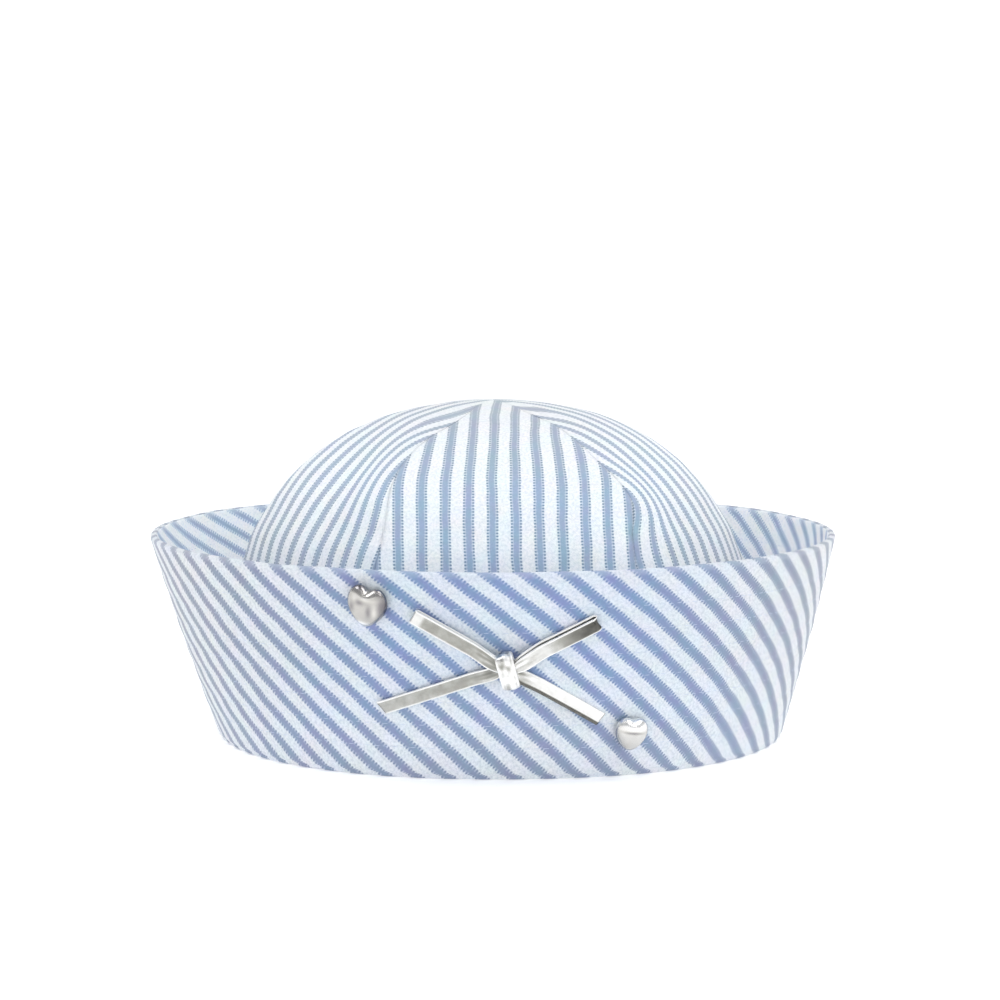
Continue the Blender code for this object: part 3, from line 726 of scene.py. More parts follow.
def brim_section():
    section = []
    for step in range(FACE_STEPS + 1):
        rise = 1.0 - (1.0 - FACE_LOW) * step / FACE_STEPS
        radius, height = brim_face(rise)
        section.append(Corner(radius - stitch_pull(rise), height, rise, True))
    for turn in range(0, 91, FOLD_STEP):
        angle = math.radians(turn)
        section.append(Corner(FOLD_RADIUS - FOLD_ROUND * (1.0 - math.cos(angle)),
                              FOLD_ROUND * (1.0 - math.sin(angle)),
                              -FOLD_CLOTH * turn / 90.0, True))
    end = FOLD_RADIUS - FOOT_REACH
    section += [Corner(end + FOOT_CHAMFER, 0.0, -FOOT_CLOTH[0], True),
                Corner(end, FOOT_CHAMFER, -FOOT_CLOTH[1], True),
                Corner(end, BRIM_WALL - FOOT_CHAMFER, -FOOT_CLOTH[1], False),
                Corner(end + FOOT_CHAMFER, BRIM_WALL, -FOOT_CLOTH[0], False)]
    inwards, downwards = BRIM_WALL * math.cos(BRIM_SLOPE), BRIM_WALL * math.sin(BRIM_SLOPE)
    low = BRIM_WALL / BRIM_RISE
    for step in range(FACE_STEPS + 1):
        rise = low + (1.0 - low) * step / FACE_STEPS
        radius, height = brim_face(rise)
        section.append(Corner(radius - inwards + INNER_PULL * stitch_pull(rise),
                              height + downwards * rise, rise, False))
    inner, outer = section[-1], section[0]
    middle = Vector((0.5 * (inner.radius + outer.radius), 0.5 * (inner.height + outer.height)))
    start = Vector((inner.radius, inner.height)) - middle
    for step in range(1, RIM_STEPS):
        turn = -math.pi * step / RIM_STEPS
        pinch = 1.0 - RIM_PINCH * math.exp(-((step - 0.5 * RIM_STEPS) / PINCH_REACH) ** 2)
        x = (start.x * math.cos(turn) - start.y * math.sin(turn)) * pinch
        y = (start.x * math.sin(turn) + start.y * math.cos(turn)) * pinch
        rise = 1.0 + RIM_CLOTH * (1.0 - step / RIM_STEPS)
        section.append(Corner(middle.x + x, middle.y + y, rise, True))
    return section


brim_corners = brim_section()
print("the brim's section has", len(brim_corners), "corners")

# %% [markdown]
# ## Stripes on the bias
#
# Wrapped round the cone, the slanting stripes are almost straight lines of angle against height.
# These few numbers say how they lie: how far a stripe turns round the cap on its way up, how
# much that differs from one side to the other, and how far apart two stripes are. The two bands
# are cut separately, so the inner one leans its own way, and it was sewn on more askew. The ends
# of the bands meet in a seam at the back.

# %% The lie of the stripes
OUTER_PITCH = 6.164           # degrees round the cap from one stripe to the next, at the fold
OUTER_START = -0.89           # degrees from the front to a stripe at the fold
OUTER_TURN = 37.8             # degrees that a stripe turns back on the way up
OUTER_BOW = 0.74              # and how much it bows
OUTER_FAN = 0.05              # the stripes lie closer, in degrees, by this share at the rim
OVAL_EASE = 0.417             # degrees: the sides of an oval are longer than its front
SIDE_EASE = 2.38              # degrees: the band was sewn on a little skewed
INNER_PITCH = 6.54
INNER_START = 4.08
INNER_TURN = 58.7
INNER_EASE = 8.1              # the inner band is skewed much more than the outer one
CLOTH_HEIGHT = 67.5 * MM      # the height that the turns are given for
BIAS = math.radians(47.0)     # the stripes' slant from upright


def bias_cloth(turn, rise, outer):
    """Where a point of the brim lies on the striped cloth, in millimetres."""
    up = rise * BRIM_RISE / CLOTH_HEIGHT
    angle = math.radians(turn)
    if outer:
        bent = turn - OVAL_EASE * math.sin(2.0 * angle) - SIDE_EASE * (1.0 - math.cos(angle))
        at_fold = bent + OUTER_TURN * up + OUTER_BOW * up * up
        stripe = (at_fold - OUTER_START) / (OUTER_PITCH * (1.0 - OUTER_FAN * up))
    else:
        up = min(up, BRIM_RISE / CLOTH_HEIGHT)
        at_fold = turn + INNER_EASE * (1.0 - math.cos(angle)) - INNER_TURN * up
        stripe = (at_fold - INNER_START) / INNER_PITCH
    around = math.radians(turn) * 0.5 * (FOLD_RADIUS + RIM_RADIUS) / MM
    climb = rise * BRIM_SLANT / MM
    sense = -1.0 if outer else 1.0
    return stripe * STRIPE_PITCH, around * math.sin(BIAS) + sense * climb * math.cos(BIAS)


print("a stripe turns back", OUTER_TURN, "degrees outside and", INNER_TURN, "degrees inside")

# %% [markdown]
# Stiffened cloth keeps slow waves and small drag lines. The noise for them is read on a circle,
# so that it closes at the back. The bands' seam draws the outer face in there.

# %% The brim
BRIM_RINGS = 400
RING_RIPPLE = 0.22 * MM       # slow waves of the stiff band
RING_ROUND, RING_UP = 3.5, 1.6         # and how fast their noise changes, round and up the brim
BIAS_RIPPLE = 0.20 * MM       # small drag lines along the bias
BIAS_ROUND, BIAS_UP = 15.0, 2.0
BIAS_SKEW = 6.0               # the drag lines slant by this much
WAVE_FREE = 0.15              # this share of the way up from the fold, the waves are full
RIM_WAVE = 0.3 * MM           # how far the rim rises and falls
RIM_ROUND = 4.0
RIM_WAVE_FROM = 0.5           # as a share of the way up
BACK_SEAM_DEPTH = 0.4 * MM
BACK_SEAM_REACH = 0.9 * MM
BACK_SEAM_FREE = 0.1          # the fold is stiff, and the seam's groove starts above it


def brim_wave(angle, rise):
    """How far the brim waves outwards here."""
    s, c = math.sin(angle), math.cos(angle)
    slow = noise.noise(Vector((RING_ROUND * s, RING_ROUND * c, RING_UP * rise)))
    drag = noise.noise(Vector((BIAS_ROUND * s + BIAS_SKEW * rise,
                               BIAS_ROUND * c - BIAS_SKEW * rise, BIAS_UP * rise + 7.0)))
    return smooth_step(rise / WAVE_FREE) * (RING_RIPPLE * slow + BIAS_RIPPLE * drag)


def build_brim(material, inside):
    rings = []
    for i in range(BRIM_RINGS):
        angle = 2.0 * math.pi * i / BRIM_RINGS - math.pi
        seam = math.exp(-((abs(angle) - math.pi) * FOLD_RADIUS / BACK_SEAM_REACH) ** 2)
        lift = RIM_WAVE * noise.noise(Vector((RIM_ROUND * math.sin(angle),
                                              RIM_ROUND * math.cos(angle), 9.0)))
        ring = []
        for corner in brim_corners:
            away = brim_wave(angle, min(corner.rise, 1.0))
            if corner.outer:
                away -= BACK_SEAM_DEPTH * seam * smooth_step(corner.rise / BACK_SEAM_FREE)
            waving = smooth_step((corner.rise - RIM_WAVE_FROM) / (1.0 - RIM_WAVE_FROM))
            height = corner.height + lift * waving
            ring.append(plan_point(corner.radius + away, angle, height))
        rings.append(ring)

    def band_place(i, k, strip):
        corner = brim_corners[k % len(brim_corners)]
        outer = brim_corners[strip].outer and brim_corners[(strip + 1) % len(brim_corners)].outer
        return bias_cloth(360.0 * i / BRIM_RINGS - 180.0, corner.rise, outer)

    brim = loft("brim_band", rings, True, band_place)
    finish_piece(brim, material, "brim_cotton", "brim")
    brim.data.materials.append(inside)
    for face in brim.data.polygons:
        strip = face.index % len(brim_corners)
        if not brim_corners[strip].outer:
            face.material_index = 1


build_brim(brim_ticking, inside_ticking_painted_light)

# %% [markdown]
# ## Rows of stitching
#
# Each row is a lockstitch: short threads, end to end, that lie in the groove they have pulled.
# A few thousand of them are one shape repeated along a path, which is just what Geometry Nodes
# are for. The rows go in as closed lines of edges. The tree turns them into curves, cuts these
# to the stitch's pitch, sets one small rounded thread on every point and turns it to follow the
# row. Realize Instances makes real faces of them, so the modifier can be replaced by its result.

# %% The stitch tree
UNEVEN_FROM, UNEVEN_TO = (0.88, 0.9, 0.9), (1.0, 1.1, 1.1)    # no two stitches are quite alike


def stitch_tree():
    tree = bpy.data.node_groups.new("rows of stitches", "GeometryNodeTree")
    for name, flow, kind in (("Rows", "INPUT", "Geometry"), ("Pitch", "INPUT", "Float"),
                             ("Length", "INPUT", "Float"), ("Thread", "INPUT", "Float"),
                             ("Seed", "INPUT", "Int"), ("Finish", "INPUT", "Material"),
                             ("Stitches", "OUTPUT", "Geometry")):
        tree.interface.new_socket(name, in_out=flow, socket_type="NodeSocket" + kind)
    given = add_node(tree, "NodeGroupInput")
    rows = add_node(tree, "GeometryNodeMeshToCurve", {"Mesh": given["Rows"]})["Curve"]
    points = add_node(tree, "GeometryNodeResampleCurve",
                      {"Curve": rows, "Length": given["Pitch"]}, mode="LENGTH")["Curve"]
    bead = add_node(tree, "GeometryNodeMeshUVSphere",
                    {"Segments": 8, "Rings": 5, "Radius": 0.5})["Mesh"]
    size = add_node(tree, "ShaderNodeCombineXYZ",
                    (given["Length"], given["Thread"], given["Thread"]))["Vector"]
    thread = add_node(tree, "GeometryNodeTransform", {"Geometry": bead, "Scale": size})["Geometry"]
    along = add_node(tree, "GeometryNodeInputTangent")["Tangent"]
    turn = add_node(tree, "FunctionNodeAlignRotationToVector", {"Vector": along},
                    axis="X")["Rotation"]
    uneven = add_node(tree, "FunctionNodeRandomValue",
                      {"Min": UNEVEN_FROM, "Max": UNEVEN_TO, "Seed": given["Seed"]},
                      data_type="FLOAT_VECTOR")["Value"]
    placed = add_node(tree, "GeometryNodeInstanceOnPoints",
                      {"Points": points, "Instance": thread, "Rotation": turn,
                       "Scale": uneven})["Instances"]
    real = add_node(tree, "GeometryNodeRealizeInstances", {"Geometry": placed})["Geometry"]
    made = add_node(tree, "GeometryNodeSetMaterial",
                    {"Geometry": real, "Material": given["Finish"]})["Geometry"]
    add_node(tree, "NodeGroupOutput", {"Stitches": made})
    return tree


def sew(name, rows, tree, material, **sizes):
    """Runs the stitch tree on closed rows of points, and keeps the result as a plain mesh."""
    points, edges = [], []
    for row in rows:
        first = len(points)
        points += row
        edges += [(first + i, first + (i + 1) % len(row)) for i in range(len(row))]
    mesh = bpy.data.meshes.new(name)
    mesh.from_pydata(points, edges, [])
    piece = put_in_scene(name, mesh)
    maker = piece.modifiers.new("stitches", "NODES")
    maker.node_group = tree
    sizes["Finish"] = material
    for item in tree.interface.items_tree:
        if item.name in sizes:
            maker[item.identifier] = sizes[item.name]
    keep_result(piece)
    finish_piece(piece, material, "brim_cotton")


stitches = stitch_tree()
print("the stitch tree has", len(stitches.nodes), "nodes")

# %% [markdown]
# The thread is mercerised cotton: whiter than the cloth and a little glossy, because it is
# singed and drawn tight. Its twist is far finer than a pixel, so only its sheen and a slight
# change of tone from stitch to stitch are drawn.

# %% Sewing the brim
STITCH_PITCH = 3.0 * MM
STITCH_LENGTH = 2.6 * MM
THREAD = 0.2 * MM
SINK = 0.05 * MM              # a stitch is drawn into the cloth
THREAD_TONES = ("#B3C1DA", "#C6D2E5")
TONE_CHANGE = 160.0           # per metre: the tone changes every 6 mm
ROW_POINTS = 720


def thread_cotton():
    material, tree, shader = new_material("mercerised_cotton_thread", Roughness=0.55,
                                          Sheen_Weight=0.2, IOR=1.5)
    place = add_node(tree, "ShaderNodeTexCoord")["Object"]
    tone = add_node(tree, "ShaderNodeTexNoise",
                    {"Vector": place, "Scale": TONE_CHANGE, "Detail": 1.0})["Fac"]
    duller, brighter = (linear(tone_hex) for tone_hex in THREAD_TONES)
    colour = add_node(tree, "ShaderNodeMix", {0: tone, 6: duller, 7: brighter},
                      data_type="RGBA")[2]
    tree.links.new(colour, shader.inputs["Base Color"])
    return material


def brim_row(rise, outer):
    """A closed line of points along one row, in its groove."""
    radius, height = brim_face(rise)
    if outer:
        radius -= SINK + stitch_pull(rise)
    else:
        radius += SINK + INNER_PULL * stitch_pull(rise) - BRIM_WALL * math.cos(BRIM_SLOPE)
        height += BRIM_WALL * math.sin(BRIM_SLOPE) * rise
    turns = [2.0 * math.pi * i / ROW_POINTS for i in range(ROW_POINTS)]
    return [plan_point(radius + brim_wave(angle, rise), angle, height) for angle in turns]


thread = thread_cotton()
for name, outer, seed in (("outer", True, 3), ("inner", False, 8)):
    sew("row_stitches_" + name, [brim_row(rise, outer) for rise in ROWS], stitches, thread,
        Pitch=STITCH_PITCH, Length=STITCH_LENGTH, Thread=THREAD, Seed=seed)

# %% [markdown]
# ## Silver strap
#
# The strap is a strip of soft leather under a mirror-bright silver foil, folded so that both
# its edges are rounded and stand a little proud of its middle. Highlights are painted bright on
# the proud edges and the knot, and the middle is painted duller and darker. How bright the
# silver is painted rides in the UV map's second number: 1 for a painted highlight, 0 for dull,
# and below 0 for a painted dark reflection. The foil is never perfectly flat: a slow bump bends
# the reflections.

# %% The foil material
# three colours, a painted highlight, the dull foil and a painted dark reflection, then the haze of
# handling: its scale per metre, and how much it changes the tone
Silver = namedtuple("Silver", "rubbed dull tarnished haze_scale haze")
FOIL = Silver("#F8F7F4", "#9C9B94", "#4C4B47", 420.0, 0.5)
FOIL_ROUGHNESS = (0.18, 0.42)          # from dull to painted bright: the foil is rougher where its shine is painted brighter
FOIL_DENTS, FOIL_GRAIN = 260.0, 1600.0      # per metre: 4 mm dents, 0.6 mm leather grain
GRAIN_SHARE = 0.12
FOIL_BUMP = (0.4, 0.15 * MM)           # strength and depth


def hazy_silver_with_painted_shine(name, silver):
    """Starts a silver whose tone, its painted highlights and painted dark reflections, comes from
    the UV map, with a haze of handling over it.
    """
    material, tree, shader = new_material(name, Metallic=1.0)
    place = add_node(tree, "ShaderNodeTexCoord")["Object"]
    haze = add_node(tree, "ShaderNodeTexNoise",
                    {"Vector": place, "Scale": silver.haze_scale, "Detail": 3.0})["Fac"]
    tone = add_node(tree, "ShaderNodeUVMap", uv_map=CLOTH_MAP)["UV"]
    tone = add_node(tree, "ShaderNodeSeparateXYZ", (tone,))["Y"]
    tone = add_node(tree, "ShaderNodeMath", (haze, silver.haze, tone), operation="MULTIPLY_ADD")[0]
    tone = add_node(tree, "ShaderNodeMath", (tone, -0.5 * silver.haze), operation="ADD")[0]
    # below 0 the tone is a painted dark reflection
    painted_dark_share = add_node(tree, "ShaderNodeMath", (tone, -1.0), operation="MULTIPLY",
                       use_clamp=True)[0]
    colour = linear(silver.dull)
    for share, metal in ((tone, silver.rubbed), (painted_dark_share, silver.tarnished)):
        colour = add_node(tree, "ShaderNodeMix", {0: share, 6: colour, 7: linear(metal)},
                          data_type="RGBA")[2]
    tree.links.new(colour, shader.inputs["Base Color"])
    return material, place, haze, tone


def surface(material, roughness, height, strength, depth):
    """Gives a material its roughness, and a bump of this height."""
    tree = material.node_tree
    bump = add_node(tree, "ShaderNodeBump",
                    {"Height": height, "Strength": strength, "Distance": depth})["Normal"]
    shader = tree.nodes["Principled BSDF"]
    tree.links.new(roughness, shader.inputs["Roughness"])
    tree.links.new(bump, shader.inputs["Normal"])
    return material


def silver_foil():
    material, place, _, tone = hazy_silver_with_painted_shine("silver_foil_leather", FOIL)
    tree = material.node_tree
    gloss = add_node(tree, "ShaderNodeMapRange", (tone, 0.0, 1.0, *FOIL_ROUGHNESS))[0]
    dents = add_node(tree, "ShaderNodeTexNoise",
                     {"Vector": place, "Scale": FOIL_DENTS, "Detail": 2.0})["Fac"]
    grain = add_node(tree, "ShaderNodeTexVoronoi", {"Vector": place, "Scale": FOIL_GRAIN})
    height = add_node(tree, "ShaderNodeMath", (grain["Distance"], GRAIN_SHARE, dents),
                      operation="MULTIPLY_ADD")[0]
    return surface(material, gloss, height, *FOIL_BUMP)


foil = silver_foil()
print("the strap's finish:", foil.name)

# %% [markdown]
# ## The bow
#
# The bow is tied flat: one strap is folded into two loops, a second is laid behind it so that
# its ends are the tails, and a short piece is wrapped round the middle of both. Each strap is a
# chain of sections laid on the brim's face, at their own height over it. A section has a middle
# point, a direction across the strap and a width. The tail at the lower right is twisted
# towards the light, and its foil is also painted bright along it, with a painted dark reflection
# along its lower edge. The loops have been pressed flat in wear.

# %% Sizes of the bow
STRAP_WIDTH = 4.7 * MM
STRAP_WAIST = 3.0 * MM        # its width where the knot pinches it
WAIST_REACH = 6.5 * MM        # and how far from the knot it is pinched
STACK_REACH = 4.0 * MM        # the straps lie on each other this far from the knot's middle
STACK_EASE = 9.0 * MM         # and then come down to the brim over this distance
TWIST_FROM = 0.4 * STACK_REACH         # a twisted arm starts to turn this far from the middle
STRAP_THICK = 0.8 * MM
CRUMPLE_REACH = 8.0 * MM      # creases fade over this distance from the knot
KNOT_ANGLE = -1.5             # degrees from the front
KNOT_RISE = 0.571
PIECE_GAP = 0.3 * MM

Layer = namedtuple("Layer", "waist free")     # lift off the brim, in the knot and along the arm
TAIL_LAYER = Layer(2.0 * MM, 1.1 * MM)
LOOP_BACK_LAYER = Layer(3.1 * MM, 1.0 * MM)
LOOP_FRONT_LAYER = Layer(4.2 * MM, 3.7 * MM)
PLY_STATIONS = 70
FOLD_STATIONS = 18

# The foil's painted shine, bright for painted highlights and dark for painted dark reflections,
# goes from near to far, from this share of the arm and over that share; hem is the painted shine
# of its lower edge.
Shine = namedtuple("Shine", "near far start over hem")
# slope and twist in degrees; peek is how far the back ply shows above; press is 1 for an open
# loop and 0 for a flat one
Arm = namedtuple("Arm", "reach slope twist peek press shine")
LOOP_LEFT = Arm(32.3 * MM, 147.0, 0.0, 0.0, 0.5, Shine(0.0, 0.65, 0.87, 0.05, 1.0))
# the right loop's tip is painted dark, as a painted dark reflection
LOOP_RIGHT = Arm(30.9 * MM, 28.0, 0.0, 0.9 * MM, 0.4, Shine(0.55, -0.9, 0.35, 0.6, 1.0))
TAIL_LEFT = Arm(43.6 * MM, 199.8, 0.0, 0.0, 1.0, Shine(0.0, 0.15, 0.3, 0.5, 1.0))
# the right tail is painted bright along its length and dark along its lower edge, as painted
# reflections
TAIL_RIGHT = Arm(35.4 * MM, -31.5, 26.0, 0.0, 1.0, Shine(0.2, 0.85, 0.12, 0.25, -0.75))
print("the bow's loops reach", round(LOOP_LEFT.reach / MM, 1), "and",
      round(LOOP_RIGHT.reach / MM, 1), "mm from the knot")

# %% Places on the brim near the bow
Station = namedtuple("Station", "centre side width crumple rubbed hem")    # a section of strap


def brim_frame(angle, rise):
    """Point of the brim's outer face with its directions round, up the slope and outwards."""
    def at(turn, climb):
        radius, height = brim_face(climb)
        return plan_point(radius, turn, height)

    step = 0.001
    around = (at(angle + step, rise) - at(angle - step, rise)).normalized()
    upwards = (at(angle, rise + step) - at(angle, rise - step)).normalized()
    outwards = around.cross(upwards).normalized()
    return at(angle, rise), around, upwards, outwards


def on_brim(sideways, upwards, lift):
    """A point near the knot: sideways and upwards on the brim's face, lift off it."""
    radius, _ = brim_face(KNOT_RISE)
    angle = math.radians(KNOT_ANGLE) + sideways / radius
    point, around, up, out = brim_frame(angle, KNOT_RISE + upwards / BRIM_SLANT)
    return point + out * lift, around, up, out


def strap_width(distance):
    """The strap is pinched in the knot and widens along the arm."""
    return STRAP_WAIST + (STRAP_WIDTH - STRAP_WAIST) * smooth_step(distance / WAIST_REACH)


def strap_station(distance, arm, lift, middle_slope, shift=0.0):
    """A section of strap at this distance from the knot along an arm."""
    direction = math.radians(arm.slope)
    sideways = distance * math.cos(direction)
    upwards = distance * math.sin(direction) + shift * smooth_step(distance / STACK_EASE)
    centre, around, up, out = on_brim(sideways, upwards, lift)
    lying = arm.slope if math.cos(direction) > 0.0 else arm.slope - 180.0
    turned = smooth_step(distance / WAIST_REACH)
    across = math.radians(middle_slope + (lying - middle_slope) * turned)
    side = up * math.cos(across) - around * math.sin(across)
    twist = math.radians(arm.twist) * smooth_step((distance - TWIST_FROM) / STACK_EASE)
    side = side * math.cos(twist) - out * math.sin(twist)
    crumple = math.exp(-(distance / CRUMPLE_REACH) ** 2)
    # how bright the foil is painted here: painted highlight and painted dark reflection along the
    # arm
    shine = arm.shine
    along = (distance / max(arm.reach, MM) - shine.start) / shine.over
    rubbed = shine.near + (shine.far - shine.near) * smooth_step(along)
    return Station(centre, side, strap_width(distance), crumple, rubbed, shine.hem)


def pressed(layer, arm):
    """The layer's height where this loop is pressed flatter than the open one."""
    low = LOOP_BACK_LAYER.free
    return Layer(layer.waist, low + (layer.free - low) * arm.press)


def layer_lift(layer, distance):
    """How far a ply is off the brim at this distance from the knot."""
    free = smooth_step((distance - STACK_REACH) / STACK_EASE)
    return layer.waist + (layer.free - layer.waist) * free


print("the knot sits at", [round(x, 4) for x in on_brim(0.0, 0.0, 0.0)[0]])

# %% [markdown]
# The strap's section is two beads with a thinner web between them. The skin is lofted through
# all the sections. On the way it is creased near the knot, and each corner gets its painted
# shine: painted highlights on the edges, painted light and shade along the creases.

# %% The strap's section and its skin
EDGE_BEAD = 0.40 * MM         # radius of the rounded edge
BEAD_ARC = 220.0              # degrees
BEAD_STEPS = 8
WEB_HALF = 0.24 * MM          # half of the thickness between the edges
WEB_STEPS = 10
EDGE_HIGHLIGHT_FROM = 0.74            # share of the half width where the painted highlight on a bright edge starts
DARK_EDGE_FROM = 0.55              # and where a painted dark edge starts
EDGE_HIGHLIGHT_OVER = 0.10
CREASE_DEPTH = 0.22 * MM
CREASE_SHADING = 1.6             # how strongly light and shade are painted into the foil's tone along the creases
ARM_CREASES = (0.9 * MM, 5.0 * MM)     # the creases' width and length
CUT_STATIONS = 6              # a slanted end is reached over this many sections


def strap_outline(width):
    """The section as (across, outwards): a bead at each edge and a thinner web between."""
    half = 0.5 * width
    outline = []
    for end, middle in ((1.0, 0.0), (-1.0, 180.0)):
        for step in range(BEAD_STEPS + 1):
            turn = math.radians(middle + BEAD_ARC * (0.5 - step / BEAD_STEPS))
            outline.append((end * (half - EDGE_BEAD) + EDGE_BEAD * math.cos(turn),
                            EDGE_BEAD * math.sin(turn)))
        for step in range(1, WEB_STEPS):
            across = end * (half - EDGE_BEAD) * (1.0 - 2.0 * step / WEB_STEPS)
            sag = EDGE_BEAD + (WEB_HALF - EDGE_BEAD) * math.sin(math.pi * step / WEB_STEPS) ** 0.5
            outline.append((across, -end * sag))
    return outline


def strap_skin(name, stations, closed, material, node, end_cuts=(0.0, 0.0), puff=0.0,
               creases=ARM_CREASES):
    """Lofts the section through the stations; end_cuts slant the two ends of an open strap."""
    count = len(stations)
    rings, run, shine = [], [0.0], []
    for index, station in enumerate(stations):
        ahead, behind = stations[(index + 1) % count], stations[index - 1]
        if not closed:
            ahead, behind = stations[min(index + 1, count - 1)], stations[max(index - 1, 0)]
        along = (ahead.centre - behind.centre).normalized()
        face = along.cross(station.side).normalized()
        side = face.cross(along).normalized()
        cut = 0.0
        if not closed:
            cut = (end_cuts[0] * smooth_step(1.0 - index / CUT_STATIONS)
                   + end_cuts[1] * smooth_step(1.0 - (count - 1 - index) / CUT_STATIONS))
        rings.append([])
        shine.append([])
        for across, out in strap_outline(station.width):
            wrinkle = noise.noise(Vector((across / creases[0], run[-1] / creases[1], 4.0)))
            wrinkle *= station.crumple
            share = abs(across) / (0.5 * station.width)
            if out > 0.0:
                out += puff * (1.0 - share * share)
            out += CREASE_DEPTH * wrinkle
            # one edge gets a painted highlight, the other the hem's painted shine, and the creases
            # painted light and shade
            edge_tone = 1.0 if across > 0.0 else station.hem
            edge_from = EDGE_HIGHLIGHT_FROM if edge_tone > 0.0 else DARK_EDGE_FROM
            edge = smooth_step((share - edge_from) / EDGE_HIGHLIGHT_OVER)
            rubbed = station.rubbed + CREASE_SHADING * wrinkle
            shine[-1].append(rubbed + (edge_tone - rubbed) * edge)
            rings[-1].append(station.centre + side * across + face * out + along * (across * cut))
        run.append(run[-1] + (ahead.centre - station.centre).length)

    def strap_place(i, k, strip):
        ring = shine[i % count]
        return run[min(i, count)] / MM, ring[k % len(ring)]

    finish_piece(loft(name, rings, closed, strap_place), material, "silver_strap", node)


print("the strap's section has", len(strap_outline(STRAP_WIDTH)), "corners")


# %% Tying the bow
BACK_PLY_SHINE = 0.6             # a loop's back ply is painted brighter, so that its edge shows lit above the front one
LEVEL = Arm(0.0, 0.0, 0.0, 0.0, 1.0, Shine(0.5, 0.5, 0.0, 1.0, 1.0))    # the strap in the knot
END_CUTS = (-0.3, 0.3)        # how much the tails' ends slant


def strap_ply(arm, layer, length, middle_slope, shift=0.0):
    """The sections of one ply from the knot outwards, without the one in the knot's middle."""
    return [strap_station(length * step / PLY_STATIONS, arm,
                          layer_lift(layer, length * step / PLY_STATIONS), middle_slope, shift)
            for step in range(1, PLY_STATIONS + 1)]


def loop_arm(arm, middle_slope):
    """Out along the front ply, round the fold at the tip and back along the back ply."""
    front = pressed(LOOP_FRONT_LAYER, arm)
    radius = 0.5 * (front.free - LOOP_BACK_LAYER.free)
    straight = arm.reach - radius - 0.5 * STRAP_THICK
    stations = strap_ply(arm, front, straight, middle_slope)
    for step in range(1, FOLD_STATIONS + 1):
        turn = math.pi * step / (FOLD_STATIONS + 1)
        distance = straight + radius * math.sin(turn)
        lift = LOOP_BACK_LAYER.free + radius * (1.0 + math.cos(turn))
        shift = arm.peek * step / (FOLD_STATIONS + 1)
        stations.append(strap_station(distance, arm, lift, middle_slope, shift))
    back = strap_ply(arm, LOOP_BACK_LAYER, straight, middle_slope, arm.peek)
    back = [station._replace(rubbed=BACK_PLY_SHINE) for station in back]
    return stations + back[::-1]


def tie_bow(material):
    slope = 0.5 * (LOOP_LEFT.slope - 180.0 + LOOP_RIGHT.slope)
    front = strap_station(0.0, LEVEL, LOOP_FRONT_LAYER.waist, slope)
    back = strap_station(0.0, LEVEL, LOOP_BACK_LAYER.waist, slope)
    ring = [front] + loop_arm(LOOP_RIGHT, slope) + [back] + loop_arm(LOOP_LEFT, slope)[::-1]
    strap_skin("strap_loops", ring, True, material, "bow_loops")

    slope = 0.5 * (TAIL_LEFT.slope - 180.0 + TAIL_RIGHT.slope)
    left = strap_ply(TAIL_LEFT, TAIL_LAYER, TAIL_LEFT.reach, slope)
    right = strap_ply(TAIL_RIGHT, TAIL_LAYER, TAIL_RIGHT.reach, slope)
    waist = strap_station(0.0, LEVEL, TAIL_LAYER.waist, slope)
    strap_skin("strap_tails", left[::-1] + [waist] + right, False, material, "bow_tails",
               end_cuts=END_CUTS)


tie_bow(foil)

# %% [markdown]
# ## The knot
#
# The short strap is pulled tight round the waist, a little askew, so it bulges and creases
# along its length. Its path lies between an oval and a box. The section is the same strap's,
# wider and with broader creases.

# %% The knot
KNOT_TILT = -12.0             # degrees
# the knot's painted shine: a painted highlight on its wrap
KNOT_SHINE = 0.7
KNOT_WIDTH = 5.6 * MM         # the soft strap spreads a little over the waist's sides
KNOT_PUFF = 0.7 * MM          # and bulges in its middle
KNOT_CREASES = (1.7 * MM, 2.4 * MM)
KNOT_HALF_HEIGHT = 5.1 * MM
KNOT_HALF_DEPTH = 2.7 * MM
KNOT_SQUARENESS = 3.2
KNOT_STATIONS = 96


def knot_stations():
    middle = PIECE_GAP + 0.5 * STRAP_THICK + KNOT_HALF_DEPTH
    tilt = math.radians(KNOT_TILT)
    stations = []
    for index in range(KNOT_STATIONS):
        turn = 2.0 * math.pi * index / KNOT_STATIONS
        c, s = math.cos(turn), math.sin(turn)
        upwards = KNOT_HALF_HEIGHT * math.copysign(abs(c) ** (2.0 / KNOT_SQUARENESS), c)
        lift = middle + KNOT_HALF_DEPTH * math.copysign(abs(s) ** (2.0 / KNOT_SQUARENESS), s)
        centre, around, up, _ = on_brim(upwards * math.sin(tilt), upwards * math.cos(tilt), lift)
        side = around * math.cos(tilt) - up * math.sin(tilt)
        stations.append(Station(centre, side, KNOT_WIDTH, 1.0, KNOT_SHINE, 1.0))
    return stations


strap_skin("strap_knot", knot_stations(), True, foil, "bow_knot", puff=KNOT_PUFF,
           creases=KNOT_CREASES)

# %% [markdown]
# ## Two puffy hearts
#
# Each heart is a hollow charm: two pressed halves of thin metal, soldered along their edge and
# plated to a mirror. Pressing a ball into a heart gives its shape: the rings of a sphere keep
# their height, and their outline becomes a heart. Reflections and highlights are painted on
# both: dark marks and a bright crescent on the left one, a bright top and a dark line across
# the right one. A table says where, and the UV map carries it as it does on the strap.

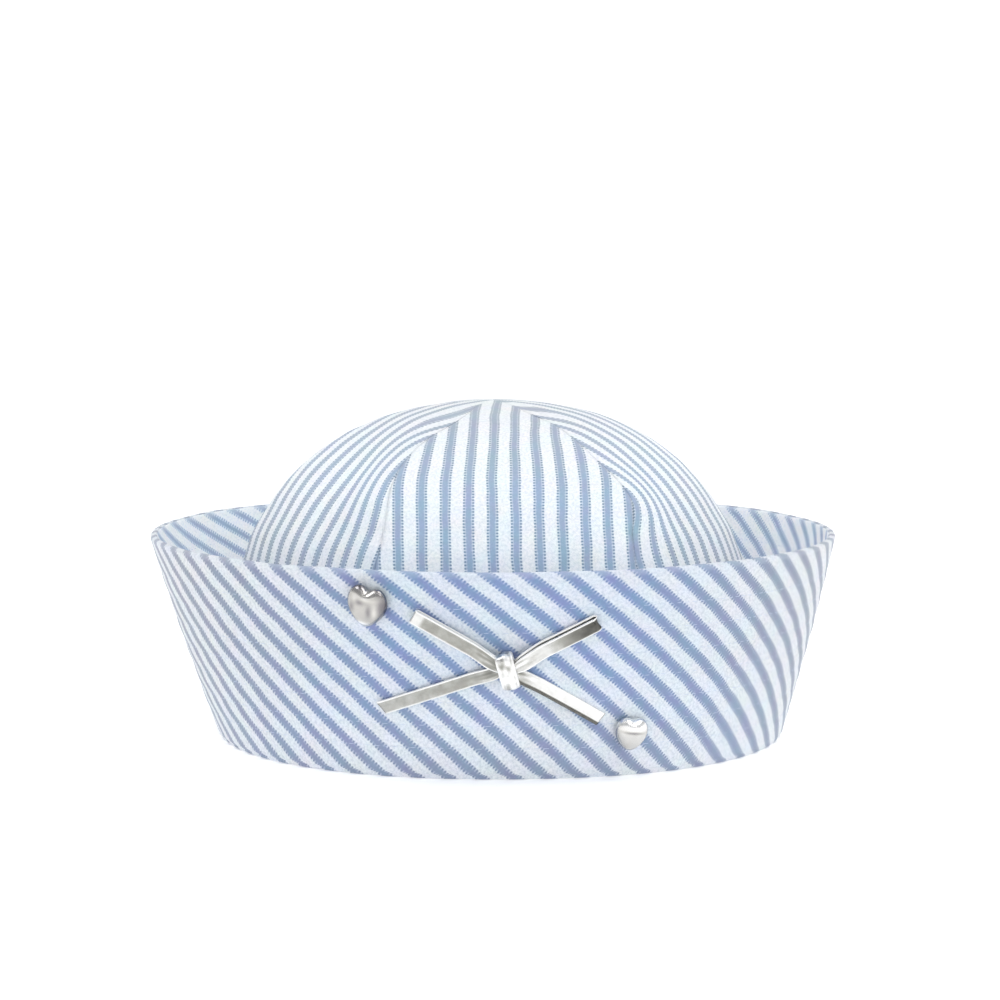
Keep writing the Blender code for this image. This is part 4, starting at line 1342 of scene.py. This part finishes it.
# %% The hearts' shape
Heart = namedtuple("Heart", "name node angle rise width height tilt "
                            "top_roundness tip_roundness notch_fill")
HEARTS = [                    # a roundness of 0 is a sharp heart, 1 an oval
    Heart("charm_left", "heart_left", -23.0, 0.867, 12.9 * MM, 14.1 * MM, -13.0, 0.38, 0.80, 0.0),
    Heart("charm_right", "heart_right", 20.3, 0.233, 10.8 * MM, 11.5 * MM, -5.0, 0.32, 0.81, 0.15),
]
NOTCH_REACH = 0.45            # how far round from the notch, in radians, its filling goes
HEART_PUFF = 3.9 * MM
HEART_BACK = 1.3 * MM
HEART_SEAT = 0.2 * MM
CREASE_FADES = 0.6            # the crease below the notch is gone this far in from the seam
HEART_AROUND = 96
HEART_RINGS = 48
RING_STEP = 0.2               # mm, from ring to ring in the UV map
EDGE_FULLNESS = 0.85          # below 1 the face is fuller near its edge than a ball's


def heart_outline(heart, turn):
    """The usual heart curve, rounded, at this turn from its notch; one unit wide and one high."""
    towards_tip = 0.5 - 0.5 * math.cos(turn)
    roundness = heart.top_roundness + (heart.tip_roundness - heart.top_roundness) * towards_tip
    sharp_x = math.sin(turn) ** 3
    sharp_y = (13.0 * math.cos(turn) - 5.0 * math.cos(2.0 * turn)
               - 2.0 * math.cos(3.0 * turn) - math.cos(4.0 * turn) + 2.5) / 14.5
    x = sharp_x + (math.sin(turn) - sharp_x) * roundness
    y = sharp_y + (math.cos(turn) - sharp_y) * roundness
    from_notch = (turn + math.pi) % (2.0 * math.pi) - math.pi
    y += heart.notch_fill * math.exp(-(from_notch / NOTCH_REACH) ** 2)
    return 0.5 * x, 0.5 * y


print("the left heart's notch is at", [round(x, 3) for x in heart_outline(HEARTS[0], 0.0)])

# %% The hearts' finish
Tarnish = namedtuple("Tarnish", "across up wide high tone")
PAINTED_REFLECTIONS = {                   # painted reflections and highlights: places on a heart, in shares of its size; tone is below 0 for a painted dark reflection and above 0 for a painted highlight
    # the left heart: painted dark reflections on its lobes and edges, and a painted bright crescent
    # low on its rim
    "charm_left": [Tarnish(0.0, 0.0, 9.0, 9.0, -0.15), Tarnish(0.44, 0.10, 0.13, 0.34, -0.75),
                   Tarnish(-0.24, 0.44, 0.20, 0.10, -0.8), Tarnish(0.24, 0.42, 0.20, 0.08, -0.5),
                   Tarnish(-0.12, 0.14, 0.14, 0.07, -0.6), Tarnish(0.13, -0.03, 0.07, 0.15, -0.6),
                   Tarnish(-0.27, 0.20, 0.10, 0.10, 0.5), Tarnish(0.02, 0.24, 0.20, 0.05, 0.5),
                   Tarnish(0.28, -0.05, 0.06, 0.16, 0.4), Tarnish(-0.32, -0.02, 0.08, 0.14, -0.5),
                   Tarnish(-0.10, -0.38, 0.24, 0.06, 1.4)],
    # the right heart: a painted bright top and a painted dark horizon line across it
    "charm_right": [Tarnish(0.0, 0.0, 9.0, 9.0, 0.2), Tarnish(0.0, 0.34, 0.5, 0.16, 0.9),
                    Tarnish(-0.08, 0.12, 0.30, 0.035, -1.1)],
}


# three colours, a painted highlight, the plating and a painted dark reflection, then the haze
PLATE = Silver("#FAF9F7", "#C8C5BF", "#6E6A70", 220.0, 0.6)
PLATE_ROUGHNESS = (0.14, 0.34)         # from clean to hazy
PLATE_BUMP = (0.15, 0.2 * MM)


def painted_reflection(heart, across, up):
    """How bright or dark reflections and highlights are painted at this place of the heart."""
    return sum(spot.tone * math.exp(-((across - spot.across) / spot.wide) ** 2
                                    - ((up - spot.up) / spot.high) ** 2)
               for spot in PAINTED_REFLECTIONS[heart.name])


def silver_plate():
    """Silver plate, polished long ago and hazy from handling, with highlights and dark reflections
    painted into its tone.
    """
    material, _, haze, _ = hazy_silver_with_painted_shine("polished_silver_plate", PLATE)
    tree = material.node_tree
    gloss = add_node(tree, "ShaderNodeMapRange", (haze, 0.0, 1.0, *PLATE_ROUGHNESS))[0]
    return surface(material, gloss, haze, *PLATE_BUMP)


plate = silver_plate()
print("the hearts' finish:", plate.name)


# %% Building the hearts
def build_heart(heart, material):
    point, around, up, out = brim_frame(math.radians(heart.angle), heart.rise)
    tilt = math.radians(heart.tilt)
    right = around * math.cos(tilt) + up * math.sin(tilt)
    top = up * math.cos(tilt) - around * math.sin(tilt)
    base = PIECE_GAP + HEART_SEAT + HEART_BACK
    rings, shine = [], []
    for ring in range(1, HEART_RINGS):
        polar = math.pi * ring / HEART_RINGS
        reach, climb = math.sin(polar) ** EDGE_FULLNESS, math.cos(polar)
        rounder = smooth_step((1.0 - reach) / CREASE_FADES)
        puff = HEART_PUFF if climb > 0.0 else HEART_BACK
        lift = base + climb * puff
        rings.append([])
        shine.append([])
        for step in range(HEART_AROUND):
            turn = 2.0 * math.pi * step / HEART_AROUND
            x, y = heart_outline(heart, turn)
            x += (0.5 * math.sin(turn) - x) * rounder
            y += (0.5 * math.cos(turn) - y) * rounder
            shine[-1].append(painted_reflection(heart, x * reach, y * reach))
            rings[-1].append(point + right * (x * reach * heart.width)
                             + top * (y * reach * heart.height) + out * lift)

    def heart_place(i, k, strip):
        return RING_STEP * i, shine[i][k % HEART_AROUND]

    charm = loft(heart.name, rings, False, heart_place)
    finish_piece(charm, material, "silver_charm", heart.node)


for heart in HEARTS:
    build_heart(heart, plate)

# %% [markdown]
# ## Floor, light and camera
#
# The cap stands on white paper that sweeps up into a low wall, as in a product studio. The paper
# glows a little, which keeps the background white and the shadow faint. Under a pale sky, two
# wide lamps light the sides from above, and a small box and a long strip in front give the metal
# something bright to mirror.

# %% The paper
STAGE_MIDDLE = 0.5            # metres, as are the next three
STAGE_RADIUS = 2.6
STAGE_CURVE = 0.5
STAGE_WALL = 0.9
CURVE_STEPS = 12
STAGE_AROUND = 96
FLOOR_GLOW = 0.31
WALL_GLOW = 0.36
GLOW_FROM, GLOW_TO = 1.2, 2.4          # metres from the cap, where the glow changes


def white_paper():
    """Matt paper, lit a little from behind."""
    material, tree, shader = new_material("white_paper_floor", Roughness=0.9,
                                          Base_Color=linear("#F4F4F4"),
                                          Emission_Color=linear("#FFFFFF"))
    place = add_node(tree, "ShaderNodeTexCoord")["Object"]
    away = add_node(tree, "ShaderNodeVectorMath", (place,), operation="LENGTH")["Value"]
    glow = add_node(tree, "ShaderNodeMapRange", (away, GLOW_FROM, GLOW_TO, FLOOR_GLOW, WALL_GLOW))[0]
    tree.links.new(glow, shader.inputs["Emission Strength"])
    return material


def build_stage():
    """Turns the paper's profile round the middle: flat, then a quarter circle, then a wall."""
    profile = [(STAGE_MIDDLE, 0.0), (STAGE_RADIUS - STAGE_CURVE, 0.0)]
    for step in range(1, CURVE_STEPS + 1):
        turn = 0.5 * math.pi * step / CURVE_STEPS
        profile.append((STAGE_RADIUS - STAGE_CURVE + STAGE_CURVE * math.sin(turn),
                        STAGE_CURVE * (1.0 - math.cos(turn))))
    profile.append((STAGE_RADIUS, STAGE_WALL))
    turns = [2.0 * math.pi * k / STAGE_AROUND for k in range(STAGE_AROUND)]
    points = [(0.0, 0.0, 0.0)] + [(radius * math.cos(turn), radius * math.sin(turn), height)
                                  for radius, height in profile for turn in turns]
    faces = []
    for k in range(STAGE_AROUND):
        m = (k + 1) % STAGE_AROUND
        faces.append((0, 1 + k, 1 + m))
        for low in range(1, 1 + STAGE_AROUND * (len(profile) - 1), STAGE_AROUND):
            high = low + STAGE_AROUND
            faces.append((low + k, high + k, high + m, low + m))
    mesh = bpy.data.meshes.new("studio_floor")
    mesh.from_pydata(points, [], faces)
    mesh.shade_smooth()
    mesh.materials.append(white_paper())
    put_in_scene("studio_floor", mesh)


build_stage()
print("the paper is", 2 * STAGE_RADIUS, "m wide")

# %% The lamps
Lamp = namedtuple("Lamp", "name azimuth elevation wide high power")    # degrees, metres, watts
LAMPS = [                     # azimuth is from the front, to the viewer's right
    Lamp("left lamp", -84.0, 62.0, 0.9, 0.7, 8.0),
    Lamp("right lamp", 84.0, 62.0, 0.9, 0.7, 7.6),
    Lamp("front box", 42.0, 38.0, 0.6, 0.4, 1.6),
    Lamp("strip lamp", -10.0, 55.0, 1.6, 0.12, 1.0),
]
LAMP_DISTANCE = 1.6
LAMP_AIM = Vector((0.0, 0.0, 0.06))
SKY_COLOUR, SKY_STRENGTH = "#F2F5FA", 0.58


def direction(azimuth, elevation):
    """The direction, from the cap, of a place at these angles in radians."""
    return Vector((math.cos(elevation) * math.sin(azimuth),
                   -math.cos(elevation) * math.cos(azimuth), math.sin(elevation)))


for lamp in LAMPS:
    light = bpy.data.lights.new(lamp.name, "AREA")
    light.shape = "RECTANGLE"
    light.size, light.size_y, light.energy = lamp.wide, lamp.high, lamp.power
    stand = put_in_scene(lamp.name, light)
    away = direction(math.radians(lamp.azimuth), math.radians(lamp.elevation))
    stand.location = LAMP_AIM + LAMP_DISTANCE * away
    stand.rotation_euler = away.to_track_quat("Z", "Y").to_euler()

world = bpy.data.worlds.new("studio sky")
bpy.context.scene.world = world
world.use_nodes = True
sky = world.node_tree.nodes["Background"]
sky.inputs["Color"].default_value = linear(SKY_COLOUR)
sky.inputs["Strength"].default_value = SKY_STRENGTH
bpy.context.scene.view_settings.view_transform = "Standard"

# %% [markdown]
# The camera looks from a little to the left and seven degrees above the floor, from just over a
# metre away, as the photo was taken. A long lens keeps the cap from looking swollen.

# %% The camera
CAMERA_AZIMUTH = math.radians(-3.3)
CAMERA_ELEVATION = math.radians(6.98)
CAMERA_DISTANCE = 1.16
CAMERA_AIM = Vector((2.5 * MM, 0.0, 55.0 * MM))
AIM_ABOVE = math.radians(1.113)      # the cap sits a little below the picture's middle
LENS, SENSOR_WIDTH = 123.2, 36.0     # mm

data = bpy.data.cameras.new("camera")
data.lens = LENS
data.sensor_width = SENSOR_WIDTH
camera = put_in_scene("camera", data)
camera.location = CAMERA_AIM + CAMERA_DISTANCE * direction(CAMERA_AZIMUTH, CAMERA_ELEVATION)
camera.rotation_euler = (math.pi / 2 - CAMERA_ELEVATION + AIM_ABOVE, 0.0, CAMERA_AZIMUTH)
bpy.context.scene.camera = camera
print("camera at", [round(x, 3) for x in camera.location])
